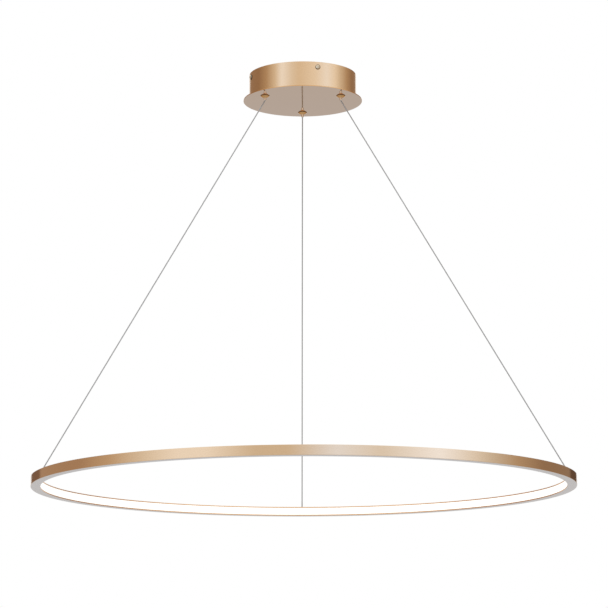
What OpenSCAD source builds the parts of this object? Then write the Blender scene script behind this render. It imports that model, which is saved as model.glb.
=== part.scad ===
// Ring pendant light: a slim LED ring that hangs on three wires from a round ceiling canopy.
// Sizes are in millimetres. The origin is on the ceiling, above the centre of the ring, and +Z points up.

/* [Ring] */
// Outer diameter of the ring
ring_d = 1000; // [700:5:1200]
// Height of the ring's profile
ring_h = 17.5; // [17:0.5:26]
// Width of the ring's profile, from outside to inside
ring_w = 18; // [12.5:0.5:20]
// Thickness of the profile's top and bottom walls, which end in the lips beside the light
lip_t = 1.8; // [1.4:0.1:2.2]
// Thickness of the profile's outer wall
web_t = 1.6; // [1.2:0.1:2]
// Chamfer along the profile's outer edges
edge_chamfer = 0.4; // [0.1:0.1:0.8]
// From the ceiling to the underside of the ring
drop = 785; // [620:5:1500]
// Open gap where the rolled profile closes
seam_gap = 0.3; // [0.1:0.1:0.8]
// Direction of that gap, anticlockwise from the right
seam_angle = 60; // [40:1:75]

/* [Light] */
// Thickness of the diffuser's face
diffuser_t = 2; // [1.6:0.1:2.6]
// How far the diffuser's face lies back from the lips
diffuser_recess = 0.4; // [0.1:0.1:0.8]
// Gap between the diffuser and the profile
diffuser_gap = 0.1; // [0.05:0.05:0.2]
// Depth of the grooves in the walls that hold the diffuser
groove_depth = 0.8; // [0.4:0.1:1]
// Width of the LED strip
strip_w = 10; // [6:1:11]
// Thickness of the LED strip
strip_t = 0.3; // [0.2:0.1:0.6]
// Open gap between the two ends of the LED strip
strip_gap = 8; // [4:1:12]
// Number of LED chips
led_count = 120; // [60:20:160]
// Length of a chip along the strip
chip_l = 3.5; // [2:0.1:5]
// Width of a chip across the strip
chip_w = 2.8; // [2:0.1:4]
// Height of a chip above the strip
chip_t = 0.8; // [0.5:0.1:1]

/* [Ring joint] */
// Length of the joiner bar behind the seam
joiner_l = 60; // [50:5:100]
// Width of the joiner bar
joiner_w = 6; // [5:0.5:6.5]
// Thickness of the joiner bar
joiner_t = 1.5; // [1:0.1:2]
// Thread diameter of the joiner's countersunk screws
joiner_screw_d = 2.5; // [2:0.5:2.5]
// Distance of the outer joiner screws from the seam
joiner_screw_far = 22; // [18:1:24]
// Distance of the inner joiner screws from the seam
joiner_screw_near = 9; // [6:1:12]

/* [Suspension] */
// Diameter of the coated wires
wire_d = 2.2; // [1.2:0.1:2.2]
// Directions of the grippers under the canopy, anticlockwise from the right
gripper_angles = [90, 210, 330]; // [0:1:359]
// Directions of the anchors on the ring
anchor_angles = [90, 198, 342]; // [0:1:359]
// Outer diameter of the anchor bushes, which end flush with the ring's top
bush_d = 5; // [4:0.5:6]
// Diameter of the collar of an anchor bush, under the ring's top wall
bush_collar_d = 7; // [6.5:0.5:7.5]
// Thickness of that collar
bush_collar_t = 1; // [0.6:0.1:1.4]
// Diameter of the crimped wire stops under the bushes
stop_d = 4; // [3:0.5:4.5]
// Length of the wire stops
stop_l = 6; // [4:0.5:8]

/* [Gripper] */
// Diameter of the gripper's cone where it meets the canopy plate
cone_d = 17; // [14:0.5:22]
// Diameter of the cone at its lower end
cone_low_d = 7.5; // [7:0.5:10]
// Thickness of the cone's rim
cone_rim = 0.8; // [0.5:0.1:2]
// Height of the cone with its rim
cone_h = 4.2; // [3:0.1:7]
// Diameter of the threaded barrel
barrel_d = 10; // [10:0.5:11]
// Height of the barrel above the underside of the canopy plate
barrel_h = 21; // [20:0.5:24]
// Outer diameter of the release nozzle
nozzle_d = 4.4; // [4:0.1:4.6]
// Wall of the release nozzle
nozzle_wall = 0.9; // [0.6:0.1:0.9]
// How far the nozzle stands out under the cone
nozzle_out = 5; // [3:0.5:8]
// Travel of the release nozzle
release_travel = 1.5; // [1:0.1:2]
// Diameter of the gripping balls
ball_d = 2.5; // [2.3:0.1:2.6]
// Number of gripping balls in each gripper
ball_count = 3; // [3:1:3]
// Wire diameter of the release spring
spring_wire_d = 0.5; // [0.4:0.1:0.6]
// Turns of the release spring
spring_turns = 5; // [4:1:6]
// Width across the flats of the gripper nut
nut_af = 14; // [14:0.5:15]
// Thickness of the gripper nut
nut_t = 4; // [2.5:0.5:6]

/* [Canopy] */
// Outer diameter of the canopy drum
drum_d = 202; // [196:1:260]
// Wall of the drum
drum_wall = 1.2; // [0.8:0.1:2]
// Width of the drum's inward flange
flange_w = 8; // [7:0.5:9]
// Height of the canopy, from the ceiling to the underside of its plate
canopy_h = 50; // [46:1:80]
// How far the plate stands out past the drum
plate_lip = 11; // [2:1:30]
// Thickness of the plate
plate_t = 1.5; // [1:0.1:3]
// From the drum's outer face inwards to the gripper axes
gripper_inset = 19; // [18.5:0.5:22]
// Diameter of the weld studs on the plate
stud_d = 3; // [2.5:0.5:4]
// Length of the weld studs
stud_l = 7; // [6:0.5:10]
// Direction of the first weld stud
stud_angle = 45.8; // [40:0.2:50]
// Thickness of the nuts on the weld studs
stud_nut_t = 2.4; // [1.6:0.1:3.2]
// Width across the flats of those nuts
stud_nut_af = 5.5; // [5:0.5:6.5]
// Direction of the first side screw
side_screw_angle = 15.8; // [10:0.2:20]
// From the ceiling down to the side screws
side_screw_z = 10; // [8:0.5:13]
// Thread diameter of the side screws
side_screw_d = 5; // [4:0.5:5]
// Head diameter of the side screws
side_head_d = 9.5; // [8:0.5:10]
// Height of their round heads
side_head_h = 3; // [2:0.2:4]
// Length of their shanks
side_shank_l = 11; // [8:0.5:14]

/* [Bracket] */
// Diameter of the bracket's disc
bracket_d = 170; // [160:1:174]
// Thickness of the bracket
bracket_t = 2; // [1.5:0.1:3]
// Width of the bracket's arms and tabs
arm_w = 16; // [12:1:20]
// Height of the bent tabs
tab_h = 18; // [16:1:22]
// Gap between the tabs and the drum
tab_gap = 1; // [0.8:0.1:2]
// Distance between the two slots for the ceiling screws
slot_spacing = 100; // [80:1:110]
// Width of the slots
slot_w = 5.5; // [4.5:0.5:6.5]
// Length of the slots from end to end
slot_l = 20; // [14:1:24]
// Diameter of the cable hole in the bracket
cable_hole_d = 14; // [12:1:16]
// Bore of the grommet for the mains cable
grommet_bore_d = 8; // [6:0.5:9]
// Diameter of the grommet's collar
grommet_collar_d = 18; // [17:0.5:20]
// Length of the grommet
grommet_l = 6; // [4.5:0.5:9]

/* [Driver] */
// Length of the driver
driver_l = 110; // [100:1:120]
// Width of the driver
driver_w = 42; // [38:1:46]
// Height of the driver
driver_h = 22; // [20:1:24]
// Wall of the driver's case
driver_wall = 1.5; // [1.2:0.1:2]
// Thickness of the driver's cover
driver_cover_t = 1.5; // [1:0.1:2]
// Thickness of the circuit board
board_t = 1.6; // [1:0.2:2]
// Diameter of the corner posts in the case
post_d = 6; // [5:0.5:6.5]
// Height of the posts that carry the board
board_post_h = 3; // [2:0.5:4]
// Thread diameter of the cover screws
cover_screw_d = 2.9; // [2.5:0.1:3]
// Length of the case's fixing ears
ear_l = 9; // [8:0.5:12]
// Thread diameter of the driver's mounting screws
mount_screw_d = 3; // [2.5:0.5:4]

/* [Wiring] */
// Length of the mains terminal block
terminal_l = 30; // [27:1:34]
// Width of the terminal block
terminal_w = 18; // [16:1:20]
// Height of the terminal block
terminal_h = 14; // [12:0.5:16]
// Distance between neighbouring poles
pole_pitch = 10; // [9:0.5:11]
// Diameter of the wire entries
entry_d = 3.4; // [3:0.1:4]
// Diameter of the clamp screws
clamp_screw_d = 3.2; // [2.5:0.1:3.6]
// Length of the low-voltage connector
connector_l = 16; // [15:1:20]
// Width of the low-voltage connector
connector_w = 14; // [12:1:16]
// Height of the low-voltage connector
connector_h = 12; // [10:0.5:14]
// Distance between the connector's two poles
connector_pitch = 8; // [7:0.5:9]
// Diameter of the mains and low-voltage leads
lead_d = 2.4; // [1.8:0.1:2.8]
// How far a lead goes into its entry
lead_in = 5; // [3:0.5:7]
// Diameter of the jumper leads inside the ring
jumper_d = 1.1; // [0.8:0.1:1.4]
// Thread diameter of the earth screw
earth_screw_d = 4; // [3:0.5:4]

/* [Hidden] */

gold = "#d6ae80";
steel = "#b9bcc0";
white = "#f6f4ee";
black = "#2a2b2d";

$fn = 96;
cut = 1;           // how far a cutting shape runs past the face that it opens
screw_gap = 0.2;   // around a screw in a plain hole, on the radius
slide_gap = 0.05;  // around a part that slides or screws in its bore, on the radius
wire_gap = 0.2;    // around the wire in a bore, on the radius
seat_gap = 0.02;   // glue line or seat between pieces that lie on each other inside the ring

// The ring's own levels and radii
ring_r = ring_d / 2;
ring_low = -drop;
ring_top = ring_low + ring_h;
ring_inner_r = ring_r - ring_w;
ring_mid_r = ring_r - ring_w / 2;
ring_mid_z = ring_low + ring_h / 2;
channel_top = ring_top - lip_t;
channel_low = ring_low + lip_t;
joiner_low = channel_top - seat_gap - joiner_t;
diffuser_r = ring_inner_r + diffuser_recess;
groove_in_r = diffuser_r + 0.3;
groove_out_r = diffuser_r + diffuser_t - 0.2 + diffuser_gap;
strip_r = ring_r - web_t - seat_gap - strip_t;

// The canopy's own levels and radii
drum_r = drum_d / 2;
drum_inner_r = drum_r - drum_wall;
plate_r = drum_r + plate_lip;
plate_low = -canopy_h;
plate_top = plate_low + plate_t;
gripper_r = drum_r - gripper_inset;
stud_r = drum_inner_r - flange_w / 2;
tab_r = drum_inner_r - tab_gap;
under_bracket = -bracket_t;

// The gripper's levels, counted from the underside of the canopy plate
cone_low = -cone_h;
nozzle_low = cone_low - nozzle_out;
seat_low = 3;                               // where the conical seat of the balls starts
seat_top = seat_low + 4.5 + release_travel; // leaves the balls room to rise with the nozzle
seat_low_r = 2.8;
chamber_r = seat_low_r + 1.2;
seat_slope = (chamber_r - seat_low_r) / (seat_top - seat_low);
nozzle_bore_r = nozzle_d / 2 - nozzle_wall;
ball_r = ball_d / 2;
ball_at_r = wire_d / 2 + slide_gap + ball_r;
touch_r = ball_at_r + (ball_r + slide_gap) * sqrt(1 + seat_slope * seat_slope);
ball_z = seat_low + (touch_r - seat_low_r) / seat_slope;
collar_low = seat_top + 0.5;
collar_t = 1.5;
collar_top = collar_low + collar_t;
collar_r = chamber_r - 0.4;
plug_in = 3;
plug_head_t = 1;
spring_low = collar_top;
spring_top = barrel_h - plug_in;
tip_z = plate_low + nozzle_low;
gripper_top = plate_low + barrel_h + plug_head_t;

// Places under the bracket
driver_y = grommet_collar_d / 2 + 3 + driver_w / 2;
terminal_at = [-26, -36];
connector_at = [34, -52];
earth_at = [0, -44];
entry_z = under_bracket - 8;
ear_screw_x = driver_l / 2 + ear_l / 2;
driver_out_z = under_bracket - driver_h / 2;

// A point at a radius, an angle and a height
function polar(r, a, z) = [r * cos(a), r * sin(a), z];
function unit(v) = v / norm(v);

// A smooth curve through the points p, with n steps between neighbours
function smooth(p, n) = concat(
    [for (i = [0 : len(p) - 2], k = [0 : n - 1])
        let (t = k / n, a = p[max(i - 1, 0)], b = p[i], c = p[i + 1], d = p[min(i + 2, len(p) - 1)])
        0.5 * (2 * b + (c - a) * t + (2 * a - 5 * b + 4 * c - d) * t * t
            + (3 * b - a - 3 * c + d) * t * t * t)],
    [p[len(p) - 1]]);

// Side directions that turn as little as possible along the tangents t
function sides_of(t, last, i = 0) = i == len(t) ? [] :
    let (n = unit(last - (last * t[i]) * t[i])) concat([n], sides_of(t, n, i + 1));

// A round tube of radius r along a path, with flat ends
module tube(path, r, sides = 8) {
    last = len(path) - 1;
    tangents = [for (i = [0 : last]) unit(path[min(i + 1, last)] - path[max(i - 1, 0)])];
    start = abs(tangents[0].z) > 0.9 ? [1, 0, 0] : [0, 0, 1];
    across = sides_of(tangents, start);
    points = [for (i = [0 : last], k = [0 : sides - 1])
        let (a = 360 * k / sides)
        path[i] + r * (cos(a) * across[i] + sin(a) * cross(tangents[i], across[i]))];
    skin = [for (i = [0 : last - 1], k = [0 : sides - 1], half = [0, 1])
        let (a = i * sides + k, b = i * sides + (k + 1) % sides)
        half == 0 ? [a, a + sides, b] : [b, a + sides, b + sides]];
    ends = [for (k = [1 : sides - 2], far = [0, 1])
        far == 0 ? [0, k, k + 1] : [last * sides, last * sides + k + 1, last * sides + k]];
    polyhedron(points, concat(skin, ends));
}

// Places its children at a radius and an angle, turned to face outwards
module around(angle, r = 0, z = 0) {
    rotate([0, 0, angle]) translate([r, 0, z]) children();
}

// A cylinder that lies along the way out from the centre
module outward(r, length) {
    rotate([0, 90, 0]) cylinder(r = r, h = length);
}

module hex(af, h) {
    cylinder(d = af / cos(30), h = h, $fn = 6);
}

// A ring cut through by a gap of this width at the seam
module with_seam(gap) {
    difference() {
        children();
        around(seam_angle) translate([ring_inner_r - cut, -gap / 2, ring_low - cut])
            cube([ring_w + 2 * cut, gap, ring_h + 2 * cut]);
    }
}

// A flat bar that follows the ring's middle line for a length on each side of the seam
module seam_bar(half_length, width, low, height) {
    half_angle = half_length / ring_mid_r * 180 / PI;
    rotate([0, 0, seam_angle - half_angle]) translate([0, 0, low])
        rotate_extrude(angle = 2 * half_angle, $fn = 360)
            translate([ring_mid_r - width / 2, 0]) square([width, height]);
}

module at_joiner_screws() {
    for (s = [-joiner_screw_far, -joiner_screw_near, joiner_screw_near, joiner_screw_far])
        around(seam_angle + s / ring_mid_r * 180 / PI, ring_mid_r) children();
}

// Ceiling bracket: a steel disc with four arms whose ends are bent down as tabs
module ceiling_bracket() {
    color(steel) difference() {
        union() {
            translate([0, 0, under_bracket]) cylinder(d = bracket_d, h = bracket_t);
            for (k = [0 : 3]) around(side_screw_angle + 90 * k) {
                translate([bracket_d / 4, -arm_w / 2, under_bracket])
                    cube([tab_r - bracket_d / 4, arm_w, bracket_t]);
                translate([tab_r - bracket_t, -arm_w / 2, -tab_h]) cube([bracket_t, arm_w, tab_h]);
            }
        }
        for (side = [-1, 1]) for (end = [-1, 1])
            translate([side * slot_spacing / 2 + end * (slot_l - slot_w) / 2, 0, under_bracket - cut])
                cylinder(d = slot_w, h = bracket_t + 2 * cut);
        for (side = [-1, 1])
            translate([side * slot_spacing / 2 - (slot_l - slot_w) / 2, -slot_w / 2, under_bracket - cut])
                cube([slot_l - slot_w, slot_w, bracket_t + 2 * cut]);
        translate([0, 0, under_bracket - cut]) cylinder(d = cable_hole_d, h = bracket_t + 2 * cut);
        translate([earth_at.x, earth_at.y, under_bracket - cut])
            cylinder(r = earth_screw_d / 2 + slide_gap, h = bracket_t + 2 * cut);
        for (side = [-1, 1]) translate([side * ear_screw_x, driver_y, under_bracket - cut])
            cylinder(r = mount_screw_d / 2 + slide_gap, h = bracket_t + 2 * cut);
        for (k = [0 : 3]) around(side_screw_angle + 90 * k, tab_r - bracket_t - cut, -side_screw_z)
            outward(side_screw_d / 2 + slide_gap, bracket_t + 2 * cut);
    }
}

// Rubber grommet in the bracket's cable hole, with its collar below the steel
module cable_grommet() {
    color(black) difference() {
        union() {
            translate([0, 0, -grommet_l]) cylinder(d = cable_hole_d, h = grommet_l);
            translate([0, 0, -grommet_l]) cylinder(d = grommet_collar_d, h = grommet_l - bracket_t);
        }
        translate([0, 0, -grommet_l - cut]) cylinder(d = grommet_bore_d, h = grommet_l + 2 * cut);
    }
}

// Earth screw with the ring tag of its lead under the head
earth_tag_t = 0.8;
earth_head_h = 2.4;
earth_tag_d = 8;
module earth_screw() {
    color("#c9a24a") translate([earth_at.x, earth_at.y, 0]) {
        difference() {
            union() {
                translate([0, 0, under_bracket - earth_tag_t])
                    cylinder(d = earth_screw_d, h = bracket_t + earth_tag_t);
                translate([0, 0, under_bracket - earth_tag_t]) cylinder(d = earth_tag_d, h = earth_tag_t);
                translate([0, 0, under_bracket - earth_tag_t - earth_head_h])
                    cylinder(d = 1.8 * earth_screw_d, h = earth_head_h);
            }
            translate([-0.5, -earth_tag_d, under_bracket - earth_tag_t - earth_head_h - cut])
                cube([1, 2 * earth_tag_d, cut + 1]);
        }
    }
}

// Canopy drum: a rolled wall with an inward flange at its foot, which lies on the plate
module canopy_drum() {
    color(gold) difference() {
        translate([0, 0, plate_top]) difference() {
            cylinder(r = drum_r, h = -plate_top, $fn = 180);
            translate([0, 0, drum_wall]) cylinder(r = drum_inner_r, h = -plate_top, $fn = 180);
            translate([0, 0, -cut]) cylinder(r = drum_inner_r - flange_w, h = drum_wall + 2 * cut);
        }
        for (k = [0 : 3]) {
            around(side_screw_angle + 90 * k, drum_inner_r - cut, -side_screw_z)
                outward(side_screw_d / 2 + screw_gap, drum_wall + 2 * cut);
            around(stud_angle + 90 * k, stud_r, plate_top - cut)
                cylinder(r = stud_d / 2 + screw_gap, h = drum_wall + 2 * cut);
        }
    }
}

// Canopy plate: the thin disc under the drum, with four weld studs on its back
module canopy_plate() {
    color(gold) difference() {
        union() {
            translate([0, 0, plate_low]) cylinder(r = plate_r, h = plate_t, $fn = 180);
            for (k = [0 : 3]) around(stud_angle + 90 * k, stud_r, plate_top) cylinder(d = stud_d, h = stud_l);
        }
        for (a = gripper_angles) around(a, gripper_r, plate_low - cut)
            cylinder(r = barrel_d / 2 + slide_gap, h = plate_t + 2 * cut);
    }
}

// Nuts that clamp the drum's flange onto the plate
module plate_nuts() {
    color(steel) for (k = [0 : 3]) around(stud_angle + 90 * k, stud_r, plate_top + drum_wall) difference() {
        hex(stud_nut_af, stud_nut_t);
        translate([0, 0, -cut]) cylinder(r = stud_d / 2 + slide_gap, h = stud_nut_t + 2 * cut);
    }
}

// Side screws: round heads with a cross recess, through the drum into the bracket's tabs
recess_l = 4.6;
recess_w = 1.1;
recess_depth = 1.4;
module side_screws() {
    dome_r = (side_head_d * side_head_d / 4 + side_head_h * side_head_h) / (2 * side_head_h);
    color("#c8b08a") for (k = [0 : 3]) around(side_screw_angle + 90 * k, drum_r, -side_screw_z) {
        difference() {
            rotate([0, 90, 0]) rotate_extrude() intersection() {
                translate([0, side_head_h - dome_r]) circle(r = dome_r);
                square([side_head_d, side_head_h]);
            }
            for (turn = [0, 90]) rotate([turn + 20, 0, 0])
                translate([side_head_h - recess_depth, -recess_l / 2, -recess_w / 2])
                    cube([recess_depth + cut, recess_l, recess_w]);
        }
        translate([-side_shank_l, 0, 0]) outward(side_screw_d / 2, side_shank_l);
    }
}

// Mains terminal block with three poles
module terminal_block() {
    color(white) translate([terminal_at.x, terminal_at.y, under_bracket - terminal_h]) difference() {
        translate([-terminal_l / 2, -terminal_w / 2, 0]) cube([terminal_l, terminal_w, terminal_h]);
        for (p = [-1 : 1]) translate([p * pole_pitch, 0, 0]) {
            translate([0, 0, entry_z - under_bracket + terminal_h])
                rotate([90, 0, 0]) cylinder(d = entry_d, h = terminal_w + 2 * cut, center = true);
            translate([0, 0, -cut])
                cylinder(r = clamp_screw_d / 2 + slide_gap, h = entry_z - under_bracket + terminal_h + cut);
        }
    }
}

// Clamp screws of the terminal block, each with a slot
clamp_l = 4;
module terminal_screws() {
    color(steel) for (p = [-1 : 1])
        translate([terminal_at.x + p * pole_pitch, terminal_at.y, under_bracket - terminal_h]) difference() {
            cylinder(d = clamp_screw_d, h = clamp_l);
            translate([-clamp_screw_d, -0.3, -cut]) cube([2 * clamp_screw_d, 0.6, cut + 0.8]);
        }
}

post_from_edge = driver_wall + post_d / 2 - 0.6; // the corner posts grow out of the case's walls
module at_driver_posts() {
    for (sx = [-1, 1]) for (sy = [-1, 1])
        translate([sx * (driver_l / 2 - post_from_edge), driver_y + sy * (driver_w / 2 - post_from_edge), 0])
            children();
}

// Holes in the driver's end walls for its leads, as [side, distance from the driver's middle line]
driver_exits = [[-1, -6], [-1, 0], [1, -6], [1, 0]];

// Driver case: a tray that hangs from the bracket by two ears, open below
module driver_case() {
    case_low = under_bracket - driver_h + driver_cover_t;
    case_h = driver_h - driver_cover_t;
    inner_l = driver_l - 2 * driver_wall;
    inner_w = driver_w - 2 * driver_wall;
    color(white) difference() {
        union() {
            difference() {
                translate([-driver_l / 2, driver_y - driver_w / 2, case_low])
                    cube([driver_l, driver_w, case_h]);
                translate([-inner_l / 2, driver_y - inner_w / 2, case_low - cut])
                    cube([inner_l, inner_w, case_h - driver_wall + cut]);
            }
            translate([-driver_l / 2 - ear_l, driver_y - ear_l / 2, under_bracket - driver_wall])
                cube([driver_l + 2 * ear_l, ear_l, driver_wall]);
            at_driver_posts() translate([0, 0, case_low]) cylinder(d = post_d, h = case_h);
        }
        at_driver_posts() translate([0, 0, case_low - cut])
            cylinder(r = cover_screw_d / 2 + slide_gap, h = cover_screw_l + cut + 1);
        for (side = [-1, 1]) translate([side * ear_screw_x, driver_y, under_bracket - driver_wall - cut])
            cylinder(r = mount_screw_d / 2 + screw_gap, h = driver_wall + 2 * cut);
        for (e = driver_exits)
            translate([e.x * (driver_l / 2 - driver_wall - cut), driver_y + e.y, driver_out_z])
                rotate([0, e.x * 90, 0]) cylinder(r = lead_d / 2 + screw_gap, h = driver_wall + 2 * cut);
    }
}

// Driver cover: the plate that closes the case from below
cover_screw_l = 9;
cover_head_d = 5.4;
cover_head_h = 1.8;
module driver_cover() {
    color(white) difference() {
        translate([-driver_l / 2, driver_y - driver_w / 2, under_bracket - driver_h])
            cube([driver_l, driver_w, driver_cover_t]);
        at_driver_posts() translate([0, 0, under_bracket - driver_h - cut])
            cylinder(r = cover_screw_d / 2 + screw_gap, h = driver_cover_t + 2 * cut);
    }
}

// Driver board with its parts: transformer, two capacitors, choke and output inductor
module driver_board() {
    board_w = driver_w - 2 * driver_wall - 1;
    board_l = driver_l - 2 * driver_wall - 2 * post_d - 2;
    board_z = under_bracket - driver_wall - board_post_h - board_t;
    room = driver_h - driver_wall - driver_cover_t - board_post_h - board_t - 1;
    color("#2f6b45") translate([0, driver_y, board_z]) {
        translate([-board_l / 2, -board_w / 2, 0]) cube([board_l, board_w, board_t]);
        for (side = [-1, 1]) translate([side * (board_l / 2 - 4), 0, board_t])
            cylinder(d = 4, h = board_post_h);
        translate([-10, -9, -room]) cube([20, 18, room]);
        for (side = [-1, 1]) translate([-26, side * 8, -room]) cylinder(d = 9, h = room);
        translate([24, 6, -room * 0.7]) cylinder(d = 11, h = room * 0.7);
        translate([20, -14, -room * 0.5]) cube([12, 8, room * 0.5]);
    }
}

// Self-tapping screws of the driver cover
module cover_screws() {
    color(steel) at_driver_posts() translate([0, 0, under_bracket - driver_h]) difference() {
        union() {
            cylinder(d = cover_screw_d, h = driver_cover_t + cover_screw_l);
            translate([0, 0, -cover_head_h]) cylinder(d = cover_head_d, h = cover_head_h);
        }
        for (turn = [0, 90]) rotate([0, 0, turn]) translate([-1.4, -0.3, -cover_head_h - cut])
            cube([2.8, 0.6, cut + 0.8]);
    }
}

// Screws through the driver's ears into the bracket
module driver_mount_screws() {
    head_h = 2;
    color(steel) for (side = [-1, 1]) translate([side * ear_screw_x, driver_y, under_bracket - driver_wall])
        difference() {
            union() {
                cylinder(d = mount_screw_d, h = driver_wall + bracket_t);
                translate([0, 0, -head_h]) cylinder(d = 1.8 * mount_screw_d, h = head_h);
            }
            for (turn = [0, 90]) rotate([0, 0, turn]) translate([-1.4, -0.3, -head_h - cut])
                cube([2.8, 0.6, cut + 0.8]);
        }
}

// Low-voltage connector with two poles
module output_connector() {
    color(white) translate([connector_at.x, connector_at.y, under_bracket - connector_h]) difference() {
        translate([-connector_l / 2, -connector_w / 2, 0]) cube([connector_l, connector_w, connector_h]);
        for (p = [-1, 1]) translate([p * connector_pitch / 2, 0, connector_h + entry_z - under_bracket])
            rotate([90, 0, 0]) cylinder(d = entry_d, h = connector_w + 2 * cut, center = true);
    }
}

// Where a lead leaves the driver, and where it enters a pole from the wall side (-1) or the middle side (1)
function driver_exit(i) = let (e = driver_exits[i])
    [for (out = [-driver_wall, 0, 5]) [e.x * (driver_l / 2 + out), driver_y + e.y, driver_out_z]];
function entry(at, x, width, side) =
    [for (out = [5, 0, -lead_in]) [at.x + x, at.y + side * (width / 2 + out), entry_z]];

// Live lead, from the driver's left end round to the terminal block
module live_lead() {
    color("#7a4a2a") tube(smooth(concat(driver_exit(0),
        [[-65, 12, -12], [-65, -10, -11], [-60, -34, -10], [-48, -53, -10]],
        entry(terminal_at, -pole_pitch, terminal_w, -1)), 3), lead_d / 2);
}

// Neutral lead, outside the live lead
module neutral_lead() {
    color("#3b63a8") tube(smooth(concat(driver_exit(1),
        [[-70, 22, -13], [-71, -4, -12], [-67, -28, -10], [-54, -54, -10], [-36, -62, -10]],
        entry(terminal_at, 0, terminal_w, -1)), 3), lead_d / 2);
}

// Earth lead, from the terminal block to the tag of the earth screw
module earth_lead() {
    tag_z = under_bracket - earth_tag_t / 2 - 1.2;
    tag_edge = earth_at.y - earth_tag_d / 2 - 2 * slide_gap;
    color("#8ea23a") tube(smooth(concat(
        [for (i = [2, 1, 0]) entry(terminal_at, pole_pitch, terminal_w, -1)[i]],
        [[-12, -55, -9], [-5, -54, -7], [-1, -50, tag_z - 1],
         [earth_at.x, tag_edge, tag_z]]), 3), lead_d / 2);
}

// Low-voltage leads from the driver's right end to the connector
module output_lead_1() {
    color("#b8332c") tube(smooth(concat(driver_exit(3),
        [[70, 20, -12], [70, 0, -11], [62, -20, -10], [44, -34, -10]],
        entry(connector_at, connector_pitch / 2, connector_w, 1)), 3), lead_d / 2);
}
module output_lead_2() {
    color(black) tube(smooth(concat(driver_exit(2),
        [[64, 12, -12], [63, -6, -11], [50, -20, -10], [34, -31, -10]],
        entry(connector_at, -connector_pitch / 2, connector_w, 1)), 3), lead_d / 2);
}

module at_gripper(k) {
    around(gripper_angles[k], gripper_r, plate_low) children();
}

// Gripper body: an inverted cone below the plate and a threaded barrel with a conical seat above it
module gripper_body(k) {
    color("#c79a5c") at_gripper(k) difference() {
        union() {
            translate([0, 0, -cone_rim]) cylinder(d = cone_d, h = cone_rim);
            translate([0, 0, cone_low]) cylinder(d1 = cone_low_d, d2 = cone_d, h = cone_h - cone_rim);
            cylinder(d = barrel_d, h = barrel_h);
        }
        translate([0, 0, cone_low - cut]) cylinder(r = nozzle_d / 2 + slide_gap, h = cone_h + seat_top + cut);
        translate([0, 0, seat_low]) cylinder(r1 = seat_low_r, r2 = chamber_r, h = seat_top - seat_low);
        translate([0, 0, seat_top]) cylinder(r = chamber_r, h = barrel_h - seat_top + cut);
    }
}

// Nut that holds the gripper to the plate
module gripper_nut(k) {
    color(steel) at_gripper(k) translate([0, 0, plate_t]) difference() {
        hex(nut_af, nut_t);
        translate([0, 0, -cut]) cylinder(r = barrel_d / 2 + slide_gap, h = nut_t + 2 * cut);
    }
}

// Plug that closes the barrel and holds the spring down
module gripper_plug(k) {
    color("#c79a5c") at_gripper(k) difference() {
        union() {
            translate([0, 0, spring_top]) cylinder(r = chamber_r - slide_gap, h = plug_in);
            translate([0, 0, barrel_h]) cylinder(d = barrel_d, h = plug_head_t);
        }
        translate([0, 0, spring_top - cut])
            cylinder(r = wire_d / 2 + wire_gap, h = plug_in + plug_head_t + 2 * cut);
    }
}

// Release nozzle: a tube that carries the balls in side holes, with a collar for the spring
module release_nozzle(k) {
    color("#dcb277") at_gripper(k) difference() {
        union() {
            translate([0, 0, nozzle_low]) cylinder(d = nozzle_d, h = collar_top - nozzle_low);
            translate([0, 0, collar_low]) cylinder(r = collar_r, h = collar_t);
        }
        translate([0, 0, nozzle_low - cut])
            cylinder(r = nozzle_bore_r, h = collar_top - nozzle_low + 2 * cut);
        for (b = [0 : ball_count - 1]) rotate([0, 0, 60 + 360 * b / ball_count]) translate([0, 0, ball_z])
            outward(ball_r + slide_gap, nozzle_d);
    }
}

// Balls that wedge between the wire and the conical seat
module grip_balls(k) {
    color(steel) at_gripper(k) for (b = [0 : ball_count - 1])
        rotate([0, 0, 60 + 360 * b / ball_count]) translate([ball_at_r, 0, ball_z]) sphere(r = ball_r);
}

// Release spring between the nozzle's collar and the plug
spring_side_gap = 0.35;
module release_spring(k) {
    coil_r = chamber_r - spring_side_gap - spring_wire_d / 2;
    steps = 8 * spring_turns;
    low = spring_low + spring_wire_d / 2 + slide_gap;
    high = spring_top - spring_wire_d / 2 - slide_gap;
    color(steel) at_gripper(k) tube([for (i = [0 : steps]) let (part = i / steps)
        polar(coil_r, 360 * spring_turns * part, low + (high - low) * part)], spring_wire_d / 2, 6);
}

// Suspension wire: the straight stretch from the nozzle's mouth to the top of the ring
module suspension_wire(k) {
    from = polar(gripper_r, gripper_angles[k], tip_z);
    to = polar(ring_mid_r, anchor_angles[k], ring_top);
    way = to - from;
    past = 2 * wire_d;
    color("#9c9c9c") intersection() {
        translate(from - past * unit(way))
            rotate([0, acos(way.z / norm(way)), atan2(way.y, way.x)])
                cylinder(d = wire_d, h = norm(way) + 2 * past, $fn = 24);
        translate([-ring_r, -ring_r, ring_top]) cube([ring_d, ring_d, tip_z - ring_top]);
    }
}

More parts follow.
